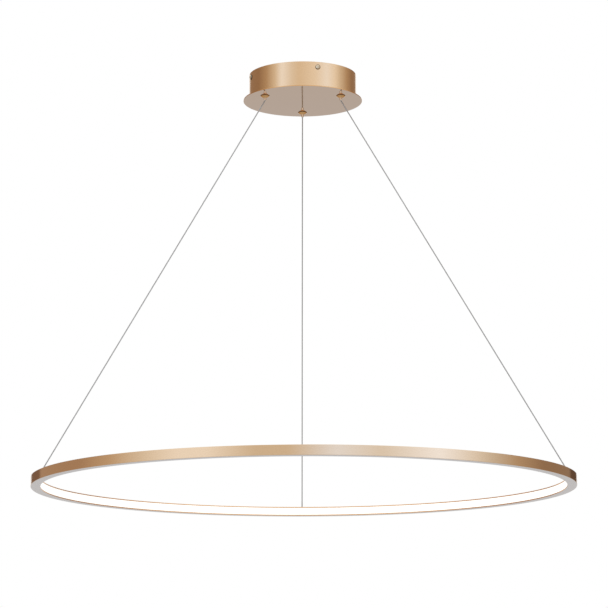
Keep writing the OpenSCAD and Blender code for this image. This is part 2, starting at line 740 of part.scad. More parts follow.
// Wire tails: each comes straight up through its gripper, then bends over inside the canopy
function tail_start(k) = [for (z = [tip_z, plate_low + ball_z, gripper_top, gripper_top + 3])
    polar(gripper_r, gripper_angles[k], z)];
module wire_tail(path) {
    color("#9c9c9c") tube(path, wire_d / 2);
}
module wire_tail_1() {
    wire_tail(smooth(concat(tail_start(0),
        [[2, 82, -18], [9, 78, -14], [20, 73, -13], [34, 68, -14]]), 3));
}
module wire_tail_2() {
    wire_tail(smooth(concat(tail_start(1),
        [[-68, -46, -18], [-58, -60, -13], [-38, -75, -10], [-10, -81, -10], [14, -78, -10], [26, -71, -10]],
        entry(connector_at, -connector_pitch / 2, connector_w, -1)), 3));
}
module wire_tail_3() {
    wire_tail(smooth(concat(tail_start(2),
        [[70, -46, -18], [65, -56, -13], [54, -68, -10], [43, -72, -10]],
        entry(connector_at, connector_pitch / 2, connector_w, -1)), 3));
}

// Ring profile: a rolled channel that opens inwards, with grooves for the diffuser
module ring_profile() {
    c = edge_chamfer;
    groove_w = groove_out_r - groove_in_r;
    color(gold) difference() {
        with_seam(seam_gap) translate([0, 0, ring_low]) rotate_extrude($fn = 360) difference() {
            polygon([[ring_inner_r, 0], [ring_r - c, 0], [ring_r, c], [ring_r, ring_h - c],
                     [ring_r - c, ring_h], [ring_inner_r, ring_h]]);
            translate([ring_inner_r - cut, lip_t]) square([ring_w - web_t + cut, ring_h - 2 * lip_t]);
            translate([groove_in_r, lip_t - groove_depth])
                square([groove_w, ring_h - 2 * (lip_t - groove_depth)]);
        }
        for (a = anchor_angles) around(a, ring_mid_r, channel_top - cut)
            cylinder(r = bush_d / 2 + slide_gap, h = lip_t + 2 * cut);
        at_joiner_screws() {
            translate([0, 0, channel_top - cut])
                cylinder(r = joiner_screw_d / 2 + slide_gap, h = lip_t + 2 * cut);
            translate([0, 0, ring_top - joiner_head_h - slide_gap])
                cylinder(r1 = joiner_screw_d / 2, r2 = joiner_head_r, h = joiner_head_h);
            translate([0, 0, ring_top - slide_gap]) cylinder(r = joiner_head_r, h = cut);
        }
    }
}

// Ring joiner: a curved bar behind the seam, under the top wall
module ring_joiner() {
    color(steel) difference() {
        seam_bar(joiner_l / 2, joiner_w, joiner_low, joiner_t);
        at_joiner_screws() translate([0, 0, joiner_low - cut])
            cylinder(r = joiner_screw_d / 2 + slide_gap, h = joiner_t + 2 * cut);
    }
}

// Countersunk screws of the joiner, flush with the ring's top
joiner_head_h = 1.2;
joiner_head_r = joiner_screw_d / 2 + joiner_head_h;
joiner_socket_af = 1.5;
module joiner_screws() {
    color(gold) at_joiner_screws() difference() {
        union() {
            translate([0, 0, joiner_low]) cylinder(d = joiner_screw_d, h = ring_top - joiner_low);
            translate([0, 0, ring_top - joiner_head_h])
                cylinder(r1 = joiner_screw_d / 2, r2 = joiner_head_r - slide_gap, h = joiner_head_h);
        }
        translate([0, 0, ring_top - 1]) hex(joiner_socket_af, 1 + cut);
    }
}

// LED strip on the profile's outer wall, facing inwards
module led_strip() {
    color("#f0efe6") with_seam(strip_gap) translate([0, 0, ring_mid_z - strip_w / 2]) difference() {
        cylinder(r = strip_r + strip_t, h = strip_w, $fn = 360);
        translate([0, 0, -cut]) cylinder(r = strip_r, h = strip_w + 2 * cut, $fn = 360);
    }
}

// LED chips, evenly spaced along the strip
module led_chips() {
    color("#f2d34f") for (i = [0 : led_count - 1])
        around(seam_angle + (i + 0.5) * 360 / led_count, strip_r - seat_gap - chip_t, ring_mid_z)
            translate([0, -chip_l / 2, -chip_w / 2]) cube([chip_t, chip_l, chip_w]);
}

// Diffuser: an opal strip whose two ribs snap into the profile's grooves
module diffuser() {
    face_low = channel_low + diffuser_gap;
    rib_low = channel_low - groove_depth + diffuser_gap;
    color("white") with_seam(seam_gap) rotate_extrude($fn = 360) union() {
        translate([diffuser_r, face_low]) square([diffuser_t, 2 * (ring_mid_z - face_low)]);
        translate([groove_in_r + diffuser_gap, rib_low])
            square([groove_out_r - groove_in_r - 2 * diffuser_gap, 2 * (ring_mid_z - rib_low)]);
    }
}

module at_anchor(k) {
    around(anchor_angles[k], ring_mid_r) children();
}

// Anchor bush: lines the wire's hole, flush above and with a collar below
module anchor_bush(k) {
    color(white) at_anchor(k) difference() {
        union() {
            translate([0, 0, channel_top]) cylinder(d = bush_d, h = lip_t);
            translate([0, 0, channel_top - bush_collar_t]) cylinder(d = bush_collar_d, h = bush_collar_t);
        }
        translate([0, 0, channel_top - bush_collar_t - cut])
            cylinder(r = wire_d / 2 + slide_gap, h = bush_collar_t + lip_t + 2 * cut);
    }
}

// Wire stop: the crimped ferrule under the bush, with the wire's end that comes up through the bush
module wire_stop(k) {
    stop_top = channel_top - bush_collar_t;
    color(steel) at_anchor(k) union() {
        translate([0, 0, stop_top - stop_l]) cylinder(d = stop_d, h = stop_l);
        translate([0, 0, stop_top]) cylinder(d = wire_d, h = ring_top - stop_top);
    }
}

// Jumper lead from a wire stop to the lower edge of the LED strip
module jumper_lead(k) {
    stop_low = channel_top - bush_collar_t - stop_l;
    pad_z = ring_mid_z - strip_w / 2 + jumper_d / 2 + 0.2;
    path = smooth([[0, 0, stop_low - 2 * slide_gap], [0, 0, stop_low - 1], [1.2, 0, pad_z + 0.6],
                   [2.6, 0, pad_z], [strip_r - slide_gap - ring_mid_r, 0, pad_z]], 3);
    color("#b8332c") at_anchor(k) tube(path, jumper_d / 2);
}

ceiling_bracket();
cable_grommet();
earth_screw();
canopy_drum();
canopy_plate();
plate_nuts();
side_screws();
terminal_block();
terminal_screws();
driver_case();
driver_cover();
driver_board();
cover_screws();
driver_mount_screws();
live_lead();
neutral_lead();
earth_lead();
output_connector();
output_lead_1();
output_lead_2();
gripper_body(0);  // gripper_body_1
gripper_body(1);  // gripper_body_2
gripper_body(2);  // gripper_body_3
gripper_nut(0);  // gripper_nut_1
gripper_nut(1);  // gripper_nut_2
gripper_nut(2);  // gripper_nut_3
gripper_plug(0);  // gripper_plug_1
gripper_plug(1);  // gripper_plug_2
gripper_plug(2);  // gripper_plug_3
release_nozzle(0);  // release_nozzle_1
release_nozzle(1);  // release_nozzle_2
release_nozzle(2);  // release_nozzle_3
grip_balls(0);  // grip_balls_1
grip_balls(1);  // grip_balls_2
grip_balls(2);  // grip_balls_3
release_spring(0);  // release_spring_1
release_spring(1);  // release_spring_2
release_spring(2);  // release_spring_3
suspension_wire(0);  // suspension_wire_1
suspension_wire(1);  // suspension_wire_2
suspension_wire(2);  // suspension_wire_3
wire_tail_1();
wire_tail_2();
wire_tail_3();
ring_profile();
ring_joiner();
joiner_screws();
led_strip();
led_chips();
diffuser();
anchor_bush(0);  // anchor_bush_1
anchor_bush(1);  // anchor_bush_2
anchor_bush(2);  // anchor_bush_3
wire_stop(0);  // wire_stop_1
wire_stop(1);  // wire_stop_2
wire_stop(2);  // wire_stop_3
jumper_lead(1);  // jumper_lead_1
jumper_lead(2);  // jumper_lead_2
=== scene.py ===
"""A slim LED ring light that hangs on three wires from a round ceiling canopy.

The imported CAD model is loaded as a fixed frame. This script remodels each piece that shows, gives the
carried-over CAD pieces their materials, and sets up the studio. Lengths are in metres. The origin is on the
ceiling, above the middle of the ring, and +Z points up.
"""

import math

import bpy
from bpy.props import FloatProperty, FloatVectorProperty, IntProperty, PointerProperty
from bpy.types import Operator, Panel, PropertyGroup
from mathutils import Matrix, Vector


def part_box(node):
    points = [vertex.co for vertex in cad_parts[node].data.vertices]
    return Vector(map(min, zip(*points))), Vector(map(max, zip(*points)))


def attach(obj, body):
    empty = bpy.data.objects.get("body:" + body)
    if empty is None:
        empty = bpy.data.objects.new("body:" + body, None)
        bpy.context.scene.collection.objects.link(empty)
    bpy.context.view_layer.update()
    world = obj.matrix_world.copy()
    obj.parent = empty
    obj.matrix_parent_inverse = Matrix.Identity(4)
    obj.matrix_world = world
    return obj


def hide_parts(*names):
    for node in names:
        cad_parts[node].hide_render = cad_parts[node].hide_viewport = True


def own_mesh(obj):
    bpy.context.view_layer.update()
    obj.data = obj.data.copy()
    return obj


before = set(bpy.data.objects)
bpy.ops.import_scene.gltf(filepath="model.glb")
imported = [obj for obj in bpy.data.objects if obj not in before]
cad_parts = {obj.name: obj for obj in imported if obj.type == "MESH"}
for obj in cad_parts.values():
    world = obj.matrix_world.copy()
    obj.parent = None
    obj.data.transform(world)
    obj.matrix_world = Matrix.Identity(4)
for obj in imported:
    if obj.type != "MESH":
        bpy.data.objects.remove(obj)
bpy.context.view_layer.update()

bl_info = {
    "name": "Ring pendant light",
    "version": (1, 0, 0),
    "blender": (4, 5, 0),
    "location": "3D View > Sidebar > Ring light",
    "description": "Models a ring light with its canopy, grippers and wires, and its studio",
    "category": "Add Mesh",
}

RING_LOW, RING_TOP = (corner.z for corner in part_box("ring_profile"))
PLATE_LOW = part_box("canopy_plate")[0].z
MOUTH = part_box("release_nozzle_1")[0].z
GRIPPER_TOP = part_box("gripper_plug_1")[1].z

MICRON = 1e-6
WELD = MICRON  # points that lie closer together than this are one
SLACK = 0.0002  # between a hole and what passes through it
SNUG = 0.00005  # the same where the two fit closely
THROUGH = 0.006  # length of a cutter that goes right through a wall
SENSOR = 36.0  # width of the camera's sensor in millimetres


def colour(hex_code):
    """The linear colour of an sRGB hex code."""
    parts = [int(hex_code[i:i + 2], 16) / 255 for i in (1, 3, 5)]
    return (*(c / 12.92 if c <= 0.04045 else ((c + 0.055) / 1.055) ** 2.4 for c in parts), 1.0)


def darker(base, share):
    """A colour that keeps a share of its brightness."""
    return [c * share for c in base[:3]] + [1]


def bearing(name, default, description):
    """A direction that a user can change, in degrees from +X."""
    return FloatProperty(name=name, description=description + ", in degrees from +X", default=default)


def length(name, default, description):
    """A length that a user can change."""
    return FloatProperty(name=name, description=description, default=default, min=0.0, precision=5,
                         subtype="DISTANCE", unit="LENGTH")


def paint(name, hex_code, description):
    """A colour that a user can change."""
    return FloatVectorProperty(name=name, description=description, default=colour(hex_code), size=4,
                               min=0.0, max=1.0, subtype="COLOR")


class RingSizes(PropertyGroup):
    """Sizes of the ring's profile and its diffuser."""

    diameter: length("Diameter", 1.0, "Outer diameter of the ring")
    width: length("Width", 0.018, "Width of the profile, from outside to inside")
    lip: length("Lip", 0.0018, "Thickness of the top and bottom walls")
    web: length("Outer wall", 0.0016, "Thickness of the outer wall")
    chamfer: length("Chamfer", 0.0004, "Chamfer along the outer edges")
    ease: length("Lip chamfer", 0.00015, "Chamfer along the inner edges of the lips")
    seam_gap: length("Seam gap", 0.0003, "Open gap where the rolled profile closes")
    seam_angle: bearing("Seam angle", 60.0, "Direction of the seam")
    groove: length("Groove", 0.0008, "Depth of the grooves that hold the diffuser")
    recess: length("Recess", 0.0004, "How far the diffuser lies back from the lips")
    diffuser: length("Diffuser", 0.002, "Thickness of the diffuser's face")
    rib_front: length("Rib front", 0.0003, "From the diffuser's face back to its ribs")
    rib_back: length("Rib back", 0.0002, "From the ribs back to the diffuser's rear face")
    play: length("Play", 0.0001, "Gap between the diffuser and the profile")
    bush: length("Anchor bush", 0.005, "Diameter of the anchor bushes")
    joiner_screw: length("Joiner screw", 0.0025, "Diameter of the joiner's screws")
    joiner_head: length("Joiner head", 0.005, "Diameter of their countersunk heads")
    steps: IntProperty(name="Steps", description="Faces round the ring", default=480, min=96, max=1440)


class CanopySizes(PropertyGroup):
    """Sizes of the drum, its plate and the side screws."""

    drum: length("Drum", 0.202, "Outer diameter of the drum")
    wall: length("Wall", 0.0012, "Thickness of the drum's wall")
    flange: length("Flange", 0.008, "Width of the drum's inward flange")
    lip: length("Lip", 0.011, "How far the plate stands out past the drum")
    plate: length("Plate", 0.0015, "Thickness of the plate")
    edge: length("Edge", 0.00025, "Rounding of the drum's and the plate's edges")
    stud: length("Stud", 0.003, "Diameter of the weld studs on the plate")
    stud_height: length("Stud height", 0.007, "Length of the weld studs")
    stud_angle: bearing("Stud angle", 45.8, "Direction of the first stud")
    screw_head: length("Screw head", 0.0095, "Diameter of the round screw heads with their washers")
    screw_dome: length("Screw dome", 0.003, "Height of the round screw heads with their washers")
    washer: length("Washer", 0.0009, "Thickness of the washers under the heads")
    washer_edge: length("Washer edge", 0.0006, "How far the washers stand out past the heads")
    screw_shank: length("Screw shank", 0.005, "Diameter of the screws")
    screw_length: length("Screw length", 0.011, "Length of the screws' shanks")
    screw_drop: length("Screw drop", 0.01, "From the ceiling down to the side screws")
    screw_angle: bearing("Screw angle", 15.8, "Direction of the first side screw")


class GripperSizes(PropertyGroup):
    """Sizes of the wire grippers under the canopy."""

    cone: length("Cone", 0.017, "Diameter of the cone at the plate")
    cone_foot: length("Cone foot", 0.0075, "Diameter of the cone at its lower end")
    cone_height: length("Cone height", 0.0042, "Height of the cone with its rim")
    rim: length("Rim", 0.0008, "Thickness of the cone's rim")
    barrel: length("Barrel", 0.01, "Diameter of the threaded barrel")
    barrel_height: length("Barrel height", 0.021, "Height of the barrel above the plate's underside")
    thread: length("Thread", 0.001, "Pitch of the barrel's thread")
    thread_depth: length("Thread depth", 0.0004, "Depth of the barrel's thread")
    throat: length("Throat", 0.0056, "Diameter of the balls' conical seat at its foot")
    chamber: length("Chamber", 0.008, "Inner diameter of the barrel above the seat")
    nozzle: length("Nozzle", 0.0044, "Outer diameter of the release nozzle")
    nozzle_wall: length("Nozzle wall", 0.0009, "Wall of the release nozzle")
    collar: length("Collar", 0.0072, "Diameter of the nozzle's collar")
    collar_height: length("Collar height", 0.0015, "Height of the nozzle's collar")
    travel: length("Travel", 0.0015, "How far the release nozzle can be pushed up")
    ball: length("Ball", 0.0025, "Diameter of the gripping balls")
    spring_wire: length("Spring wire", 0.0005, "Wire diameter of the release spring")
    spring_turns: IntProperty(name="Spring turns", description="Turns of the release spring", default=5,
                              min=2)


class WireSizes(PropertyGroup):
    """Sizes of the suspension wires and the leads."""

    diameter: length("Diameter", 0.0022, "Diameter of the coated wires")
    lay: length("Lay", 0.012, "Length in which a wire's section turns once, as its strands would")
    lead: length("Lead", 0.0024, "Diameter of the leads in the canopy")
    jumper: length("Jumper", 0.0011, "Diameter of the jumper leads in the ring")


class Finishes(PropertyGroup):
    """Colours of the light's own surfaces."""

    ring: paint("Ring", "#eacead", "Anodised ring profile")
    lips: paint("Lips", "#ecb97e", "Brushed inner edges of the ring")
    canopy: paint("Canopy", "#e7c49b", "Plated canopy drum")
    plate: paint("Plate", "#e3b17a", "Polished canopy plate")
    gripper: paint("Gripper", "#e8b77c", "Turned cones of the grippers")
    # Painted shade: the rims' dark brown stands in for the shade and dark reflection at the cones' edges.
    rims: paint("Gripper rims", "#6e604f", "Rims of the grippers' cones")
    nozzles: paint("Nozzles", "#ece4d6", "Release nozzles")
    screws: paint("Screws", "#dccbae", "Side screws")
    # Painted shade: the washers' near black stands in for the shadow round the side screws' heads.
    washers: paint("Washers", "#2c2622", "Washers under the side screws")
    wires: paint("Wires", "#a4a4a4", "Coat of the suspension wires")
    diffuser: paint("Diffuser", "#f7f6f2", "Opal diffuser")


class StageSettings(PropertyGroup):
    """Camera and light of the studio."""

    eye: FloatVectorProperty(name="Eye", description="Place of the camera", subtype="TRANSLATION",
                             unit="LENGTH", default=(-0.03655, -4.72085, -1.31595))
    heading: FloatProperty(name="Heading", description="Turn of the camera to the right", subtype="ANGLE",
                           unit="ROTATION", default=0.0080)
    pitch: FloatProperty(name="Pitch", description="Upward tilt of the camera", subtype="ANGLE",
                         unit="ROTATION", default=0.1836)
    roll: FloatProperty(name="Roll", description="Roll of the camera", subtype="ANGLE",
                        unit="ROTATION", default=-0.0030)
    lens: FloatProperty(name="Lens", description="Focal length in millimetres on a 36 mm sensor",
                        default=152.634)
    daylight: FloatProperty(name="Daylight", description="Strength of the even light all round", default=0.8)
    key: FloatVectorProperty(name="Key light", description="Place of the key light", subtype="TRANSLATION",
                             unit="LENGTH", default=(-1.2, -2.2, 1.8))
    key_aim: FloatProperty(name="Key aim", description="Height that the key light points at",
                           subtype="DISTANCE", unit="LENGTH", default=-0.4)
    key_size: length("Key size", 2.5, "Width of the key light")
    key_power: FloatProperty(name="Key power", description="Power of the key light in watts", default=35.0)
    floor: length("Floor", 2.4, "Depth of the floor below the ceiling")
    wall: length("Wall", 4.0, "Radius of the studio wall that the metal mirrors")


def point(radius, degrees, height):
    """A point at a radius, a direction and a height."""
    turn = math.radians(degrees)
    return Vector((radius * math.cos(turn), radius * math.sin(turn), height))


def quarter_turns(first):
    """Four directions a quarter turn apart."""
    return [first + 90 * k for k in range(4)]


def only(piece=None):
    """Leaves one piece selected and active, or nothing."""
    if bpy.context.mode != "OBJECT":
        bpy.ops.object.mode_set(mode="OBJECT")
    bpy.ops.object.select_all(action="DESELECT")
    if piece:
        piece.select_set(True)
        bpy.context.view_layer.objects.active = piece


def named(name):
    """Names the piece that was just added."""
    piece = bpy.context.object
    piece.name = piece.data.name = name
    return piece


def draw(name, points):
    """Draws a line: one vertex, extruded from each point to the next. The piece stays in edit mode."""
    only()
    bpy.ops.mesh.primitive_plane_add(size=0.001, location=points[0])
    piece = named(name)
    bpy.ops.object.mode_set(mode="EDIT")
    bpy.ops.mesh.merge(type="CENTER")
    for here, there in zip(points, points[1:]):
        bpy.ops.mesh.extrude_region_move(TRANSFORM_OT_translate={"value": there - here})
    return piece


def close(piece):
    """Welds a piece in edit mode, turns its faces outwards and brings its origin to the frame's."""
    bpy.ops.mesh.select_all(action="SELECT")
    bpy.ops.mesh.remove_doubles(threshold=WELD)
    bpy.ops.mesh.normals_make_consistent(inside=False)
    bpy.ops.object.mode_set(mode="OBJECT")
    bpy.ops.object.transform_apply(location=True, rotation=True, scale=True)
    return piece


def turned(name, section, steps, centre=(0, 0, 0), start=0.0, sweep=360.0, closed=True):
    """Turns a section of (radius, height) points about an upright axis, as a lathe does.

    A closed section makes a tube. An open one begins and ends on the axis and makes a solid.
    """
    points = [Vector(centre) + point(radius, start, height) for radius, height in section]
    piece = draw(name, points + points[:1] if closed else points)
    bpy.ops.mesh.select_all(action="SELECT")
    bpy.ops.mesh.remove_doubles(threshold=WELD)
    if sweep < 360:
        bpy.ops.mesh.edge_face_add()
        bpy.ops.mesh.select_all(action="SELECT")
    # The operator turns clockwise about its axis, so the axis points down.
    bpy.ops.mesh.spin(steps=steps, angle=math.radians(sweep), center=centre, axis=(0, 0, -1))
    return close(piece)


def rounded(piece, width, angle=30, segments=2):
    """Rounds a piece's sharp edges."""
    only(piece)
    bevel = piece.modifiers.new("Round", "BEVEL")
    bevel.width, bevel.segments, bevel.angle_limit = width, segments, math.radians(angle)
    bevel.limit_method = "ANGLE"
    bpy.ops.object.modifier_apply(modifier=bevel.name)


def carve(piece, tool, operation="DIFFERENCE"):
    """Cuts a piece with a tool, or joins the tool to it, and clears the tool away."""
    only(piece)
    boolean = piece.modifiers.new("Carve", "BOOLEAN")
    boolean.operation, boolean.object, boolean.solver = operation, tool, "EXACT"
    bpy.ops.object.modifier_apply(modifier=boolean.name)
    bpy.data.objects.remove(tool, do_unlink=True)


def rod(radius, depth, place, heading=None, vertices=32):
    """A cylinder centred on a place: upright, or along the way out from the centre at a heading."""
    only()
    turn = (0, 0, 0) if heading is None else (0, math.pi / 2, math.radians(heading))
    bpy.ops.mesh.primitive_cylinder_add(vertices=vertices, radius=radius, depth=depth, location=place,
                                        rotation=turn)
    return bpy.context.object


def placed(piece, matrix):
    """Moves a piece and puts the move into its mesh."""
    piece.matrix_world = matrix
    only(piece)
    bpy.ops.object.transform_apply(location=True, rotation=True, scale=True)


def copied(piece, name, degrees):
    """A copy with its own mesh, turned about the middle of the light."""
    other = piece.copy()
    other.data = piece.data.copy()
    other.name = other.data.name = name
    bpy.context.collection.objects.link(other)
    placed(other, Matrix.Rotation(math.radians(degrees), 4, "Z"))
    return other


def dressed(piece, material, body, slot, *nodes, sharp=20):
    """Shades a finished piece, gives it its material and body, and hides the CAD pieces that it stands for.
    """
    only(piece)
    bpy.ops.object.shade_smooth_by_angle(angle=math.radians(sharp))
    piece.data.materials.clear()
    piece.data.materials.append(material)
    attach(piece, body)
    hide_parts(*nodes)
    return piece


def coat(piece, material, belongs):
    """Gives a second material to the faces of a finished piece whose middle belongs to a region."""
    piece.data.materials.append(material)
    for face in piece.data.polygons:
        if belongs(face.center):
            face.material_index = 1


def add(tree, kind, inputs=None, stops=None, **settings):
    """Adds a shader node with its settings, and fills or links its inputs."""
    node = tree.nodes.new("ShaderNode" + kind)
    for name, value in settings.items():
        setattr(node, name, value)
    for name, value in (inputs or {}).items():
        if isinstance(value, bpy.types.NodeSocket):
            tree.links.new(value, node.inputs[name])
        else:
            node.inputs[name].default_value = value
    if stops:
        ramp = node.color_ramp
        while len(ramp.elements) < len(stops):
            ramp.elements.new(1.0)
        for element, (place, shade) in zip(ramp.elements, stops):
            element.position, element.color = place, shade
    return node


def blank(name):
    """A material under a name, its emptied node tree and the place on a piece that its patterns read."""
    material = bpy.data.materials.get(name) or bpy.data.materials.new(name)
    material.use_nodes = True
    tree = material.node_tree
    tree.nodes.clear()
    return material, tree, add(tree, "TexCoord").outputs["Object"]


def satin_metal(name, base, roughness, grain, depth):
    """A metal with a directed grain, whose sizes along X, Y and Z, and whose depth, are in metres.

    The grain makes fine streaks in what the metal mirrors and a slightly uneven gloss. Real grain is
    finer than a pixel, so it is drawn as coarse as it needs to show. Patches of about 70 mm change the
    colour a little from place to place, as plating and anodising do.
    """
    material, tree, spot = blank(name)
    along = add(tree, "Mapping", {"Vector": spot, "Scale": [1 / size for size in grain]}).outputs[0]
    streaks = add(tree, "TexNoise", {"Vector": along, "Scale": 1.0, "Detail": 3.0, "Roughness": 0.6})
    patches = add(tree, "TexNoise", {"Vector": spot, "Scale": 14.0, "Detail": 2.0})
    shade = add(tree, "Mix", {0: patches.outputs["Fac"], 6: base, 7: darker(base, 0.96)},
                data_type="RGBA")
    gloss = add(tree, "MapRange", {"Value": streaks.outputs["Fac"], "From Min": 0.3, "From Max": 0.7,
                                   "To Min": roughness * 0.92, "To Max": roughness * 1.08})
    relief = add(tree, "Bump", {"Height": streaks.outputs["Fac"], "Strength": 1.0, "Distance": depth})
    shader = add(tree, "BsdfPrincipled", {"Base Color": shade.outputs[2], "Metallic": 1.0,
                                          "Roughness": gloss.outputs[0], "Normal": relief.outputs[0]})
    add(tree, "OutputMaterial", {"Surface": shader.outputs[0]})
    return material


def plain_metal(name, hex_code, roughness, speck=0.0008):
    """A hidden metal fitting, zinc, steel or brass: its specks of 0.8 mm make it a little uneven in tone."""
    material, tree, spot = blank(name)
    cloud = add(tree, "TexNoise", {"Vector": spot, "Scale": 1 / speck, "Detail": 2.0})
    base = colour(hex_code)
    shade = add(tree, "Mix", {0: cloud.outputs["Fac"], 6: base, 7: darker(base, 0.8)}, data_type="RGBA")
    relief = add(tree, "Bump", {"Height": cloud.outputs["Fac"], "Strength": 0.5, "Distance": speck * 0.02})
    shader = add(tree, "BsdfPrincipled", {"Base Color": shade.outputs[2], "Metallic": 1.0,
                                          "Roughness": roughness, "Normal": relief.outputs[0]})
    add(tree, "OutputMaterial", {"Surface": shader.outputs[0]})
    return material


def moulded(name, base, roughness, texture=0.0006, ior=1.5):
    """A moulded plastic or rubber, dulled by the fine spark-eroded texture of its mould."""
    material, tree, spot = blank(name)
    pebble = add(tree, "TexNoise", {"Vector": spot, "Scale": 1 / texture, "Detail": 2.0})
    shade = add(tree, "Mix", {0: pebble.outputs["Fac"], 6: base, 7: darker(base, 0.93)}, data_type="RGBA")
    relief = add(tree, "Bump", {"Height": pebble.outputs["Fac"], "Strength": 0.5, "Distance": texture * 0.03})
    shader = add(tree, "BsdfPrincipled", {"Base Color": shade.outputs[2], "Roughness": roughness,
                                          "IOR": ior, "Normal": relief.outputs[0]})
    add(tree, "OutputMaterial", {"Surface": shader.outputs[0]})
    return material


def opal_acrylic(finishes):
    """Opal acrylic in front of the LED strip: milk white all through and evenly lit.

    Its skin is satin, with an extruded grain of about 1.1 mm.
    """
    material, tree, spot = blank("opal_acrylic")
    skin = add(tree, "TexNoise", {"Vector": spot, "Scale": 900.0, "Detail": 2.0})
    relief = add(tree, "Bump", {"Height": skin.outputs["Fac"], "Strength": 0.4, "Distance": 20 * MICRON})
    glow = add(tree, "ValToRGB", {"Fac": skin.outputs["Fac"]},
               stops=[(0.3, colour("#fffdf8")), (0.7, colour("#ffffff"))])
    shader = add(tree, "BsdfPrincipled", {"Base Color": finishes.diffuser, "Roughness": 0.35, "IOR": 1.49,
                                          "Emission Color": glow.outputs[0], "Emission Strength": 0.4,
                                          "Normal": relief.outputs[0]})
    add(tree, "OutputMaterial", {"Surface": shader.outputs[0]})
    return material


def nylon_coat(finishes):
    """Clear grey nylon drawn over a steel rope: a soft sheen over grey.

    The faint light and dark of the rope below is drawn as clouds of about 4 mm, coarse enough to show.
    """
    material, tree, spot = blank("nylon_coated_wire")
    cloud = add(tree, "TexNoise", {"Vector": spot, "Scale": 260.0, "Detail": 2.0})
    base = finishes.wires
    shade = add(tree, "Mix", {0: cloud.outputs["Fac"], 6: base, 7: darker(base, 0.86)}, data_type="RGBA")
    shader = add(tree, "BsdfPrincipled", {"Base Color": shade.outputs[2], "Roughness": 0.38, "IOR": 1.53,
                                          "Coat Weight": 0.3, "Coat Roughness": 0.2})
    add(tree, "OutputMaterial", {"Surface": shader.outputs[0]})
    return material


FLAG = "#614b3c"  # dark cloth at the ends of the wall
BARE = "#9e8672"  # the studio's own warm wall, in shadow
HALF = "#bfab95"  # the same wall where some light falls on it
GAP = "#e0d8cc"  # warm gap between two lights
PALE = "#e8e5e1"  # pale screen beside a light
WHITE = "#f4f8ff"  # white reflector
BOX = "#d8e6ff"  # daylight soft box

# What the metal mirrors, from left to right: a direction in degrees from the camera's side, the surface
# there and how strongly it is lit. The canopy's side shows the high row and the ring's outside the low one.
# The grippers' cones show the row at the wall's foot.
HIGH_LIGHTS = [
    (-157, BARE, 1.05), (-108, BARE, 1.05), (-84, HALF, 1.0), (-61, PALE, 1.0), (-46, BOX, 1.55),
    (-22, WHITE, 0.97), (-8, PALE, 1.05), (26, WHITE, 1.06), (52, BOX, 1.52), (73, WHITE, 1.08),
    (86, PALE, 0.95), (108, HALF, 1.0), (128, BARE, 1.0), (157, BARE, 1.0),
]
LOW_LIGHTS = [
    (-158, FLAG, 1.75), (-138.5, FLAG, 1.75), (-136.5, BARE, 1.3), (-100, BARE, 1.3), (-82, HALF, 1.17),
    (-64, PALE, 1.04), (-50, WHITE, 1.12), (-38, WHITE, 1.12), (-19, GAP, 1.0), (-6, GAP, 1.0),
    (12, BOX, 1.36), (29, WHITE, 0.95), (53, BOX, 1.58), (69, WHITE, 0.97), (78, PALE, 0.86),
    (92, HALF, 1.0), (110, BARE, 0.98), (140, BARE, 0.9), (142, FLAG, 1.0), (158, FLAG, 1.0),
]
FOOT_LIGHTS = [
    (-158, HALF, 0.8), (-75, HALF, 0.8), (-45, BOX, 1.3), (45, BOX, 1.3), (75, HALF, 0.8),
    (158, HALF, 0.8),
]
# The wall's rows from the floor up: each one's name, the height of its upper edge and its lights.
WALL_ROWS = [("foot", -0.8, FOOT_LIGHTS), ("low", 0.4, LOW_LIGHTS), ("high", 3.2, HIGH_LIGHTS)]

FLOOR_RADIUS = 30.0
FLOOR_REACH = 20.0
# What the metal mirrors of the floor: a distance from its middle and the colour there, from grey right
# below the light through a warm ring to pale daylight further out.
FLOOR_SHEEN = [
    (14.0, "#dde2e9"), (10.0, "#d9e8ff"), (7.2, "#d9e8ff"), (5.6, "#c9bba9"), (2.0, "#c9bba9"),
    (1.2, "#cccccc"),
]


